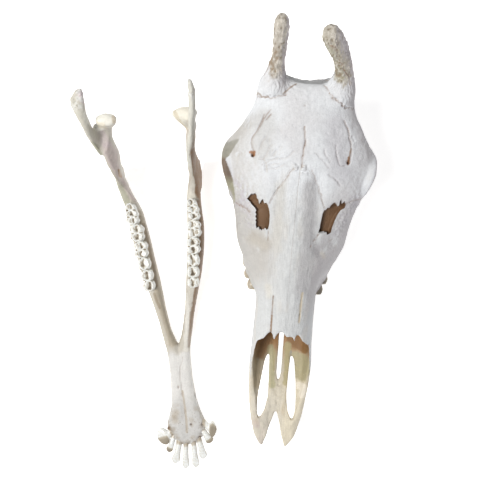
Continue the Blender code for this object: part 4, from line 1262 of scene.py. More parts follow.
    def marks(self) -> list[Mark]:
        """The grooves, sutures and holes of the cranium."""
        frontal = ((0.001, 0.504), (0.001, 0.4985), (0.003, 0.49), (0.0041, 0.4825), (0.0027, 0.474),
                   (0.0025, 0.4665), (0.0024, 0.457), (0.0018, 0.448))
        vessels = (
            ((-0.071, 0.4655), (-0.0745, 0.475), (-0.0762, 0.4805), (-0.0747, 0.4877), (-0.069, 0.4955),
             (-0.0625, 0.51), (-0.0592, 0.52)),
            ((-0.0686, 0.4963), (-0.0634, 0.505), (-0.0589, 0.5152), (-0.0506, 0.5258)),
            ((-0.056, 0.5125), (-0.0494, 0.52)),
            ((0.0745, 0.464), (0.075, 0.472), (0.0752, 0.4801), (0.0727, 0.4914), (0.0698, 0.4954),
             (0.0675, 0.5065), (0.0593, 0.5192)))
        fine = (
            ((-0.0457, 0.4763), (-0.0504, 0.4687), (-0.0531, 0.4615), (-0.0566, 0.456), (-0.0627, 0.4572)),
            ((-0.0316, 0.458), (-0.0236, 0.4584), (-0.0174, 0.4627), (-0.0121, 0.4691)),
            ((-0.0539, 0.4474), (-0.0441, 0.4496), (-0.0335, 0.4516)),
            ((-0.0522, 0.4425), (-0.0369, 0.4448)),
            ((-0.064, 0.47), (-0.06, 0.48), (-0.056, 0.486)),
            ((0.0205, 0.4693), (0.0313, 0.4616), (0.0422, 0.4519)),
            ((0.05, 0.4837), (0.0511, 0.474), (0.0551, 0.4645), (0.0605, 0.4561), (0.0673, 0.4571)),
            ((-0.086, 0.504), (-0.08, 0.516), (-0.077, 0.524)),
            ((0.044, 0.442), (0.056, 0.437), (0.064, 0.43)),
            ((-0.0571, 0.4488), (-0.0457, 0.4557), (-0.0341, 0.4588)),
            ((-0.06, 0.459), (-0.054, 0.454), (-0.0502, 0.4393)),
            ((-0.0457, 0.448), (-0.0358, 0.444), (-0.0244, 0.4511), (-0.0149, 0.4462)),
            ((-0.042, 0.462), (-0.038, 0.468)),
            ((0.033, 0.476), (0.036, 0.468), (0.044, 0.46)))
        roof = self.on_roof
        found = [Mark(frontal, 0.0011, 0.0014, 1.0, wobble=0.001, within=roof)]
        found += [Mark(path, 0.0011, 0.0018, 0.75, within=roof) for path in vessels]
        found += [Mark(path, 0.001, 0.0018, 0.26, wobble=0.001, within=roof) for path in fine]
        for spot, width, depth, stain in (((-0.0014, 0.5335), 0.0013, 0.002, 0.9),
                                          ((-0.0334, 0.4741), 0.001, 0.0012, 0.6),
                                          ((-0.048, 0.4566), 0.0008, 0.001, 0.4),
                                          ((-0.076, 0.469), 0.001, 0.0012, 0.4),
                                          ((0.07, 0.496), 0.0012, 0.0012, 0.5)):
            found.append(Mark((spot,), width, depth, stain, wobble=0.0, within=roof))
        # Pitted sutures round the feet of the horn cores
        feet = (((-0.0735, 0.5545), (-0.07, 0.547), (-0.0588, 0.5426), (-0.053, 0.5412), (-0.0462, 0.5421),
                 (-0.0353, 0.5452), (-0.0312, 0.5468), (-0.0282, 0.5535), (-0.0253, 0.5588),
                 (-0.0171, 0.5625)),
                ((0.024, 0.564), (0.0317, 0.5549), (0.038, 0.548), (0.0445, 0.5442), (0.0485, 0.5407),
                 (0.0565, 0.5388), (0.0671, 0.5398), (0.074, 0.544)))
        for path in feet:
            found += [Mark(path, 0.0014, 0.0018, 1.0, wobble=0.0022, within=(0.18, 0.3), dots=0.0034),
                      Mark(path, 0.0012, 0.001, 0.6, wobble=0.0022, within=(0.18, 0.3))]
        # Sides of the nasal bones where they are still open
        open_sides = (((-0.0105, 0.4465), (-0.0172, 0.4351), (-0.0274, 0.421), (-0.0354, 0.4079),
                       (-0.0408, 0.397)),
                      ((0.0181, 0.4459), (0.024, 0.436), (0.0297, 0.4264), (0.037, 0.411),
                       (0.044, 0.3959)))
        found += [Mark(path, 0.001, 0.0011, 0.75, wobble=0.0012) for path in open_sides]
        blisters = ((-0.006, 0.45), (0.001, 0.448), (0.008, 0.451), (0.006, 0.444), (-0.004, 0.443))
        found += [
            # Cracks that run off the gaps, and the grooves along the front of the nasal bones
            Mark(((-0.0395, 0.356), (-0.0392, 0.3501), (-0.0385, 0.3426)), 0.001, 0.0012, 0.9),
            Mark(((0.044, 0.362), (0.0363, 0.3511), (0.0311, 0.34), (0.0244, 0.327)),
                 0.0011, 0.0012, 0.8, wobble=0.002, dots=0.005),
            Mark(((-0.0229, 0.256), (-0.0227, 0.2305), (-0.0226, 0.2096), (-0.022, 0.198)),
                 0.0012, 0.002, 1.0, wobble=0.0003),
            Mark(((0.0232, 0.268), (0.0229, 0.2596), (0.0226, 0.2453), (0.0222, 0.228)),
                 0.0011, 0.001, 0.15, wobble=0.0003),
            Mark(((0.0223, 0.2309), (0.0219, 0.218)), 0.0012, 0.0016, 0.35, wobble=0.0002),
            Mark(((0.001, 0.443), (0.0, 0.43), (-0.001, 0.41)), 0.0008, 0.0006, 0.18, dots=0.005),
            # The raised middle of the nasal vault, the blisters behind it, and creases of the right cheek
            Mark(((0.0, 0.425), (0.0, 0.24)), 0.015, -0.0024, wobble=0.0),
            Mark(blisters, 0.0055, -0.0034, 0.2, wobble=0.001, dots=0.004),
            Mark(((-0.09, 0.356), (-0.0789, 0.3504), (-0.07, 0.34), (-0.06, 0.327)),
                 0.0022, 0.0012, 0.1, wobble=0.0008),
            Mark(((-0.0894, 0.3711), (-0.0902, 0.3612)), 0.001, 0.001, 0.3)]
        # Cracks in the feet of both horn cores
        horn_cracks = (((-0.0575, 0.5792), (-0.0603, 0.5745), (-0.0646, 0.5708)),
                       ((0.0169, 0.5774), (0.0311, 0.5764), (0.0425, 0.5743)),
                       ((0.0445, 0.5737), (0.0486, 0.572), (0.0563, 0.5698), (0.0601, 0.5625)))
        found += [Mark(path, 0.001, 0.0012, 0.85, wobble=0.0008, within=(0.22, 0.35)) for path in horn_cracks]
        # Tear-bone sutures behind the gaps, cheek sutures, and the hole of the cheek's nerve
        tears = (((-0.0942, 0.399), (-0.087, 0.395), (-0.0789, 0.3913), (-0.0703, 0.3839)),
                 ((0.0793, 0.407), (0.09, 0.414), (0.1045, 0.4203)))
        found += [Mark(path, 0.0011, 0.0011, 0.7, wobble=0.0014, within=(0.1, 0.3)) for path in tears]
        for side, seen in ((-1.0, Seen.RIGHT), (1.0, Seen.LEFT)):
            reach = (0.045, 0.12) if side > 0 else (-0.12, -0.045)
            found.append(Mark(((0.25, 0.042),), 0.0032, 0.006, 0.9, seen, 0.0, reach))
            found.append(Mark(((0.256, 0.0425), (0.266, 0.044)), 0.0028, 0.0025, 0.2, seen, 0.0, reach))
            cheek = ((0.33, 0.052), (0.352, 0.06), (0.372, 0.078), (0.392, 0.086), (0.412, 0.094))
            found.append(Mark(cheek, 0.0008, 0.0008, 0.45, seen, 0.0012, reach))
        return found

    def tones(self) -> list[Tone]:
        """The patches of other colours on the cranium, some of them painted shade."""
        olive, grey, brown = "#b3a981", "#b9b491", "#8f6c45"
        plate_right = ((-0.0183, 0.168), (-0.016, 0.15), (-0.0139, 0.1295), (-0.0102, 0.104))
        plate_left = ((0.0125, 0.1748), (0.0138, 0.1575), (0.015, 0.1404), (0.014, 0.11))
        return [
            Tone(grey, plate_right, 0.006, 0.9, within=(0.0, 0.06)),
            Tone("#b3a982", ((-0.0105, 0.165), (-0.009, 0.13)), 0.0022, 0.8, within=(0.0, 0.06)),
            Tone(olive, plate_left, 0.006, 0.9, within=(0.0, 0.06)),
            Tone("#8f969a", ((0.0185, 0.164), (0.019, 0.135)), 0.002, 0.6, within=(0.0, 0.06)),
            Tone(brown, ((0.0147, 0.185), (0.026, 0.1811), (0.0335, 0.1732), (0.04, 0.168)), 0.005,
                 0.9, within=(0.0, 0.06)),
            Tone("#b5ad8c", ((0.027, 0.158), (0.04, 0.154), (0.043, 0.135), (0.039, 0.124),
                             (0.028, 0.13), (0.033, 0.143)), 0.0075, 1.0, within=(0.0, 0.07)),
            Tone(brown, ((-0.0235, 0.1842), (-0.0296, 0.1717), (-0.0352, 0.1541)), 0.009, 0.85,
                 within=(0.0, 0.06), soft=1.2),
            Tone("#b3a68c", ((-0.0378, 0.1421), (-0.0377, 0.1199), (-0.0364, 0.1029)), 0.0065, 0.9,
                 within=(0.0, 0.06), soft=1.0),
            Tone("#efe8d8", ((0.0329, 0.1064), (0.042, 0.108), (0.0417, 0.0934)), 0.006, 0.9),
            # Painted shade: a broad darkening of the right cheek, and the shade of the hollow before the
            # right gap
            Tone("#c4c3c0", ((-0.088, 0.375), (-0.08, 0.34), (-0.07, 0.3)), 0.015, 0.85, soft=1.6),
            Tone("#bcb7ae", ((-0.064, 0.348), (-0.0543, 0.3426), (-0.043, 0.336)), 0.009, 0.8, soft=1.4),
            # Painted shade on both flanks of the nasal vault
            Tone("#bcbcbe", ((0.018, 0.42), (0.024, 0.38), (0.025, 0.33), (0.02, 0.27)), 0.011,
                 0.85, soft=1.2),
            Tone("#c8c7c2", ((-0.027, 0.42), (-0.026, 0.37), (-0.022, 0.33)), 0.008, 0.6, soft=1.4),
            # Painted shade on the slopes of the brow, both sides
            Tone("#c5c5c4", ((-0.054, 0.5), (-0.06, 0.515), (-0.056, 0.47)), 0.014, 0.6, soft=1.4),
            Tone("#c4c3c8", ((0.048, 0.51), (0.052, 0.48), (0.062, 0.45)), 0.017, 0.6, soft=1.4),
            # Brown at the feet of the horn cores and round the brow holes, colours along the nasal grooves,
            # and cream patches
            Tone("#8c7660", ((-0.0346, 0.5471), (-0.0251, 0.5563), (-0.0168, 0.5633)), 0.001, 0.7),
            Tone("#8c7660", ((-0.0731, 0.554), (-0.0649, 0.5442), (-0.056, 0.542)), 0.0009, 0.6),
            Tone("#9b6537", ((-0.0765, 0.4668), (-0.07, 0.4668), (-0.0706, 0.4625)), 0.0019, 0.9),
            Tone("#8a6038", ((0.0722, 0.469), (0.0722, 0.462)), 0.0022, 0.9),
            Tone("#9d7a55", ((0.0742, 0.482), (0.0724, 0.47)), 0.0012, 0.7),
            Tone("#d6cab0", ((0.023, 0.264), (0.0226, 0.25), (0.0222, 0.218)), 0.0017, 0.8),
            Tone("#8e6c48", ((-0.0225, 0.225), (-0.0222, 0.209), (-0.0216, 0.198)), 0.0012, 0.8),
            Tone("#ddd3bb", ((-0.032, 0.27), (-0.029, 0.256)), 0.005, 0.25, soft=1.6),
            Tone("#d8cfc0", ((0.054, 0.326), (0.05, 0.33)), 0.0035, 0.4, soft=1.6)]

    def tear_bones(self, places: Array) -> Array:
        """How far each corner belongs to the pitted bone before the eye sockets."""
        spots = np.column_stack((np.abs(places[:, 0]), places[:, 1]))
        share = bell(to_path(spots, self.tear_line), 0.013)
        return share * np.where(places[:, 0] > 0.0, 0.5, 1.0) * (places[:, 2] > 0.08)

    def orbit_rim_shade(self, places: Array) -> Array:
        """How far each corner belongs to the outer face of the right eye socket's rim, whose greys and brown
        strip are partly painted shade and partly the bone's brown.
        """
        x, y, z = places.T
        keys, edge = np.array(self.orbit_edge).T
        share = fade(x - np.interp(y, keys, edge) + 0.0006 * ripple(places, 0.004, 1, 57), 0.0007, -0.0007)
        share = share * fade(y, 0.3995, 0.401) * fade(y, 0.488, 0.485)
        return share * fade(z + 0.006 * ripple(places, 0.008, 2, 44), 0.12, 0.142)

    def nasal_region(self) -> Mesh:
        """The space of the two nasal bones, with a slanting floor."""
        half = np.array(self.nasal_outline)
        side = smooth_line(half[1:-1], 0.0015)
        wander = 0.0006 * ripple(np.column_stack((side, np.zeros(len(side)))), 0.005, 2, 21)
        side = side + np.column_stack((wander, np.zeros(len(side))))
        outline = [tuple(half[0])] + [tuple(spot) for spot in side] + [tuple(half[-1])]
        whole = outline + [(-x, y) for x, y in outline[-2:0:-1]]
        mesh = prism(whole, 0.0, FAR)
        places = corners(mesh)
        keys, heights = np.array(self.roof).T
        low = places[:, 2] < FAR / 2
        places[low, 2] = np.interp(places[low, 1], keys, heights) - self.nasal_depth
        move_corners(mesh, places)
        return mesh

    def horn_region(self, sign: float) -> Mesh:
        """The space of one horn core: a foot set in the roof that widens to hold the stem."""
        foot = smooth_line(self.horn_foot, 0.002, closed=True)
        wave = 0.0012 * ripple(np.column_stack((foot, np.zeros(len(foot)))), 0.006, 2, 23 + int(sign))
        middle = foot.mean(axis=0)
        foot = foot + (foot - middle) / np.linalg.norm(foot - middle, axis=1)[:, None] * wave[:, None]
        head = smooth_line(self.horn_head, 0.002, closed=True)
        spread = np.linspace(0, len(head) - 1, len(foot))
        head = np.column_stack([np.interp(spread, np.arange(len(head)), head[:, axis]) for axis in (0, 1)])
        rings = []
        for height, size, share in self.horn_levels:
            line = middle + (foot - middle) * size
            line = line + (head - line) * share
            rings.append([(sign * x, y, height) for x, y in line])
        form = bmesh.new()
        rings_to_form(form, rings)
        bmesh.ops.triangulate(form, faces=form.faces)
        return taken(form)

    def inside(self, places: Array, facing: Array) -> Array:
        """How far each corner belongs to the walls of a hollow, from 0 to 1."""
        x, y, z = places.T
        margin = 0.003
        keys, half, floor, ceiling = np.array(self.hollow).T
        wide, low, high = (np.interp(y, keys, row) for row in (half, floor, ceiling))
        within = (np.abs(x) < wide + margin) & (z > low - margin) & (z < high + margin)
        within &= (y > 0.0) & (y < 0.425)
        middle = (low + high) / 2
        inward = -(x * facing[:, 0]) / wide - (z - middle) * facing[:, 2] / (high - middle)
        nose = within * fade(inward, 0.2, 0.55) * fade(y, 0.05, 0.2)
        centre, radii = (np.array(row) for row in self.socket)
        spots = (np.column_stack((np.abs(x), places[:, 1:])) - centre) / (radii + margin)
        eye = 0.75 * fade(np.linalg.norm(spots, axis=1), 1.02, 0.94)
        roofs = [plane[0] + places[:, :2] @ plane[1:] for plane in self.planes]
        below = np.where(x < 0.0, *roofs) - z
        plan = np.column_stack((np.abs(x), y))
        scroll = fade(to_path(plan, self.scroll_line), 0.02, 0.014) * fade(below, 0.0045, 0.0065)
        reach = np.hypot(np.abs(x) - self.brow_hole[0], y - self.brow_hole[1])
        hole = 0.8 * fade(reach, 0.004, 0.0026)
        return np.maximum.reduce([nose, eye, scroll * (z > 0.1), hole * (z > 0.15)])

    def horn_share(self, places: Array) -> tuple[Array, Array]:
        """How much each corner belongs to a rough horn core, and its turn round the core's axis."""
        share = np.zeros(len(places))
        turn = np.zeros(len(places))
        for sign, axis in zip((-1.0, 1.0), self.horn_axes):
            line = np.array(axis)
            near = (places[:, 0] * sign > 0) & (places[:, 2] > 0.205) & (places[:, 1] > 0.53)
            middle = np.column_stack([np.interp(places[near, 2], line[:, 2], line[:, k]) for k in (0, 1)])
            arm = places[near, :2] - middle
            share[near] = fade(places[near, 2], self.rough_from - 0.014, self.rough_from + 0.01)
            turn[near] = np.arctan2(arm[:, 1], arm[:, 0])
        return share, turn

    def regions(self, places: Array, facing: Array) -> dict[str, Array]:
        """How far each corner belongs to each region that has a name."""
        x, y, z = places.T
        core, _ = self.horn_share(places)
        inner = self.inside(places, facing)
        return {"core": core, "inner": inner, "tear": self.tear_bones(places),
                "stem": core * fade(z + 0.006 * self.grains.at(places), 0.244, 0.258),
                "top": fade(facing[:, 2], 0.1, 0.4) * (z > 0.05),
                "strut": bell(x, 0.009) * bell(y - 0.09, 0.026),
                "orbit": self.orbit_rim_shade(places) * (1.0 - inner)}

    def waves(self, skin: Skin) -> Array:
        """Rays round the feet of the horn cores, and bumps over the roots of the cheek teeth."""
        x, y, z = skin.places.T
        _, turn = self.horn_share(skin.places)
        rays = np.cos(self.ray_count * turn + 5.0 * ripple(skin.places, 0.012, 2, 33))
        rays *= fade(ripple(skin.places, 0.009, 1, 34), -0.5, 0.5)
        base = fade(z, 0.222, 0.24) * fade(z, 0.268, 0.252) * (y > 0.53)
        reach = np.hypot(np.abs(x) - self.foot_middle[0], y - self.foot_middle[1])
        foot = fade(reach, 0.044, 0.03) * fade(y, 0.543, 0.55) * skin.parts["top"]
        wall = fade(np.abs(x), 0.052, 0.062) * bell(z - 0.03, 0.016)
        roots = sum(bell(y - row, 0.0075) for row in self.tooth_rows)
        return self.ray_depth * np.maximum(base, foot) * rays - self.root_bump * wall * roots

    def carved(self, mesh: Mesh) -> None:
        """Carve the marks and the relief into the skin, and sink its broad hollows."""
        super().carved(mesh)
        places = corners(mesh)
        spots = np.column_stack((np.abs(places[:, 0]), places[:, 1]))
        roof = fade(places[:, 2], 0.075, 0.095)
        for path, width, drop in self.hollows:
            places[:, 2] -= drop * roof * bell(to_path(spots, path), width)
        move_corners(mesh, places)

    def roughened(self, mesh: Mesh) -> Mesh:
        """Give a horn core finer faces and the granular, long grain of its surface."""
        form = bmesh.new()
        form.from_mesh(mesh)
        bmesh.ops.subdivide_edges(form, edges=form.edges, cuts=1, use_grid_fill=True)
        form.to_mesh(mesh)
        form.free()
        places = corners(mesh)
        core, _ = self.horn_share(places)
        grain = self.fine.at(places) + self.crumbs.at(places)
        self.carve(mesh, (0.15 + 0.85 * core) * self.grain_depth * grain)
        return mesh

    def painted(self, skin: Skin) -> Paint:
        """The colours of a bone of the cranium."""
        y = skin.places[:, 1]
        paint = Paint(len(y), self.ground)
        paint.lay_all(self.layers, skin)
        paint.lay_along(y + 0.01 * self.streaks.at(skin.places), self.nose_run, skin.parts["inner"])
        paint.lay_all([self.nose_wall], skin)
        # The orbit's rim: partly painted shade, partly the bone's brown
        paint.lay_along(y, self.orbit_shade_run, 0.95 * skin.parts["orbit"])
        paint.lay_tones(self.tones(), skin)
        return paint

    def values(self, skin: Skin) -> dict[str, Array]:
        """How soiled, how streaked and how porous the bone is."""
        core, inner, tear = (skin.parts[name] for name in ("core", "inner", "tear"))
        low = skin.share(self.soiled) * (skin.places[:, 2] > 0.225)
        return {"soil": core * fade(self.grains.at(skin.places), 0.25, 0.9) * (0.15 + 0.7 * low),
                "streak": np.maximum(0.25 + 0.75 * skin.share(self.vault), 0.6 * inner) * (1.0 - 0.6 * core),
                "porous": np.maximum.reduce([tear, 0.9 * skin.share(self.nape), 0.5 * core]).clip(0.15)}

    def build(self) -> None:
        """Melt, carve, part and dress the cranium."""
        bones = {}
        for node in ("cranium", "nasal_left", "nasal_right", "maxilla_left", "maxilla_right",
                     "premaxilla_left", "premaxilla_right", "ossicone_left", "ossicone_right"):
            bones[node] = self.bone(node)
        (near, wide), (front, back), (low, high) = self.tooth_box
        for side, sign in SIDES:
            outline = [(sign * x, y) for x, y in ((near, front), (wide, front), (wide, back), (near, back))]
            node = "maxilla_" + side
            bones[node] = cut(bones[node], prism(outline, low, high), Keep.OUTSIDE)
        form = bmesh.new()
        for mesh in bones.values():
            form.from_mesh(mesh)
        ground = BVHTree.FromBMesh(form)
        form.free()
        extra = []
        for sign in (-1.0, 1.0):
            plate, plane = self.plate(ground, sign)
            self.planes.append(plane)
            extra += [plate, self.scroll(sign, plane)]
        skin = self.joined(bones.values(), extra)
        LOG.info("cranium skin: %d faces", len(skin.polygons))
        self.carved(skin)
        for outline, plane in zip(self.frayed, self.planes):
            skin = cut(skin, self.frayed_cutter(outline, plane), Keep.OUTSIDE)
        region = self.nasal_region()
        nasals = cut(skin.copy(), region, Keep.INSIDE)
        rest = cut(skin, swollen(region, SEAM), Keep.OUTSIDE)
        front = cut(rest.copy(), self.maxilla_back.region(-1.0), Keep.INSIDE)
        braincase = cut(rest, self.maxilla_back.region(1.0), Keep.INSIDE)
        premaxillae = cut(front.copy(), self.premaxilla_back.region(-1.0), Keep.INSIDE)
        maxillae = cut(front, self.premaxilla_back.region(1.0), Keep.INSIDE)
        for side, sign in SIDES:
            region = self.horn_region(sign)
            horn = cut(braincase.copy(), region, Keep.INSIDE)
            braincase = cut(braincase, swollen(region, SEAM), Keep.OUTSIDE)
            horn = self.roughened(largest_body(horn))
            self.finished(horn, "horn_core_" + side, "ossicone_" + side, Slot.HORN)
            for whole, node in ((nasals, "nasal_"), (maxillae, "maxilla_"), (premaxillae, "premaxilla_")):
                half = cut(whole.copy(), self.middle.region(sign), Keep.INSIDE)
                self.finished(half, node + "bone_" + side, node + side, Slot.BLEACHED)
        self.finished(braincase, "braincase", "cranium", Slot.BLEACHED)


@dataclass
class Jaw(Half):
    """The lower jaw: two bones that meet at the chin."""

    place: Placement = JAW_PLACE
    voxel: float = 0.0012

    # In side view, the space above the gum that the plain cheek teeth fill
    tooth_space: Path = (
        (0.28, 0.0462), (0.297, 0.0503), (0.335, 0.0563), (0.38, 0.0613), (0.429, 0.0673),
        (0.4385, 0.069), (0.4385, 0.115), (0.28, 0.115))
    # In plan, the front of the bone without the front teeth
    front: Path = (
        (0.0085, -0.0072), (0.0165, -0.0022), (0.0252, 0.006), (0.0322, 0.018), (0.0362, 0.033),
        (0.0362, 0.0362), (0.2, 0.0362), (0.2, 0.65))
    bend: Path = (
        (-0.045, 0.002), (0.0, 0.001), (0.034, -0.002), (0.066, -0.0026), (0.098, -0.0036),
        (0.14, -0.0046), (0.17, -0.005), (0.21, -0.005), (0.265, -0.0035), (0.3, -0.0025),
        (0.34, -0.0025), (0.39, -0.0025), (0.42, -0.005), (0.45, -0.0085), (0.5, -0.0085),
        (0.525, -0.0045), (0.55, 0.0), (0.6, 0.0))
    # The open holes between the roots of the front teeth, and the one in the middle of the chin
    pits: tuple[tuple[Spot, float], ...] = (
        ((0.0074, 0.0332), 0.0019), ((-0.0326, 0.0175), 0.0026), ((-0.0212, 0.0035), 0.002),
        ((-0.0142, -0.0025), 0.0018), ((-0.0021, -0.0034), 0.002), ((0.0119, -0.0006), 0.0018),
        ((0.0215, 0.0078), 0.0024), ((0.0296, 0.019), 0.0018), ((0.0282, 0.0307), 0.0018),
        ((-0.0345, 0.0287), 0.0022))
    # The tips of the branches, the rough chin, and the fibrous middle of the bone. The relief is that of
    # the chin, of the bone round the roots, of the jaw's angle and of the tips, with a light unevenness
    tips: Zone = Zone(z=(0.215, 0.226))
    rough_chin: Zone = Zone(y=(0.1, 0.05))
    fibrous: Zone = Zone(y=(0.1, 0.16, 0.53, 0.56))
    relief: tuple[Relief, ...] = (
        Relief(0.0004, Noise(0.006, 3, 61), rough_chin),
        Relief(0.0013, Noise(0.004, 2, 62), Zone(("ring",), y=(0.055, 0.03))),
        Relief(0.0007, Noise(0.005, 2, 63, (1.0, 1.0, 0.4)), Zone(y=(0.44, 0.465), z=(0.07, 0.04))),
        Relief(0.0009, Noise(0.003, 2, 64), tips),
        Relief(0.00014, Noise(0.004, 2, 65)),
        Relief(0.0003, Noise(0.012, 2, 67, (1.0, 0.4, 1.0))),
        Relief(0.00014, Noise(0.0036, 2, 68, (1.0, 0.15, 1.0)), Zone(y=(0.1, 0.15))))
    rough: Zone = Zone(y=(0.09, 0.05), noise=Noise(0.01, 3, 73), patch=(0.0, 0.7))
    # The outer side of the left half is brown, on its faces turned to the animal's left
    brown_outer_side: Zone = Zone(left=(0.3, 0.62), x=(0.012, 0.012 + HARD), y=(0.165, 0.23, 0.51, 0.545))
    ground: str = "#cdc9bf"
    layers: tuple[Layer, ...] = (
        Layer("#c3beb2", 0.7, Zone(noise=Noise(0.03, 2, 71, (1.0, 0.4, 1.0)), patch=(-0.5, 0.9))),
        # The white chin, its shaded right side, its front, its rough bone and painted shade round the sockets
        # of the front teeth
        Layer("#e2e2e0", 0.9, Zone(("chin",), up=(-0.1, 0.5))),
        Layer("#c2bcae", 0.8, Zone(("chin",), up=(0.55, 0.2), x=(0.0, -HARD))),
        Layer("#cbcbc9", 0.8, Zone(y=(0.1, 0.06))),
        Layer("#b9b2a6", 0.6, rough),
        # Painted shade round the roots of the front teeth, broken up by noise
        Layer("#7d6a4e", 1.0, Zone(("sockets",), y=(0.05, 0.05 - HARD), noise=Noise(0.0055, 2, 76),
                                   patch=(-0.5, 0.4))),
        Layer("#8a6d52", 0.9, brown_outer_side),
        # The right flanks of both halves
        Layer("#b8afa2", 0.7, Zone(left=(-0.45, -0.8), x=(0.0, HARD), y=(0.18, 0.25))),
        Layer("#b3ada0", 0.7, Zone(left=(-0.45, -0.8), x=(0.0, -HARD), y=(0.14, 0.2))))
    tip_layer: Layer = Layer("#dedfdb", 0.8, Zone(z=(0.215, 0.226), noise=Noise(0.0045, 2, 74),
                                                  patch=(-0.1, 0.4)))

    def shifted(self, y: float) -> float:
        """How far the jaw bends to the side at a distance from its front."""
        keys, moves = zip(*self.bend)
        return float(np.interp(y, keys, moves))

    def marks(self) -> list[Mark]:
        """The holes and grooves of the jaw."""
        found = []
        for sign, outer in ((-1.0, Seen.RIGHT), (1.0, Seen.LEFT)):
            reach = (0.0, 0.12) if sign > 0 else (-0.12, 0.0)
            found.append(Mark(((0.082, 0.015), (0.086, 0.015)), 0.0024, 0.006, 0.9, outer, 0.0, reach))
            found.append(Mark(((0.076, 0.0145), (0.066, 0.0135)), 0.0022, 0.0016, 0.2, outer, 0.0, reach))
        # The faint seam of the chin and the crests along both branches
        seam = ((0.0035, 0.1572), (0.0011, 0.1501), (-0.0029, 0.1373), (-0.0049, 0.1246), (-0.0043, 0.1099),
                (-0.0038, 0.095))
        crest = ((-0.085, 0.525), (-0.0805, 0.5089), (-0.0765, 0.495), (-0.0724, 0.4813), (-0.0694, 0.4686),
                 (-0.0622, 0.4577), (-0.0542, 0.4443), (-0.05, 0.438))
        found += [
            Mark(seam, 0.0012, 0.0012, 0.28, wobble=0.001),
            Mark(((-0.0038, 0.095), (-0.003, 0.07), (0.0, 0.045), (-0.001, 0.025)), 0.0012, 0.0008, 0.3,
                 wobble=0.002, dots=0.006),
            Mark(((-0.0092, 0.1045), (-0.0092, 0.102)), 0.0013, 0.0022, 0.6, wobble=0.0),
            Mark(((-0.0655, 0.4915), (-0.0663, 0.4805)), 0.001, 0.0012, wobble=0.0),
            Mark(crest, 0.0018, -0.0016, wobble=0.0004),
            Mark(((0.064, 0.5247), (0.0576, 0.5064), (0.0523, 0.4941), (0.048, 0.47)), 0.0018, -0.0012,
                 wobble=0.0004)]
        return found + [Mark((pit,), size, 0.003, 0.9, wobble=0.0006) for pit, size in self.pits]

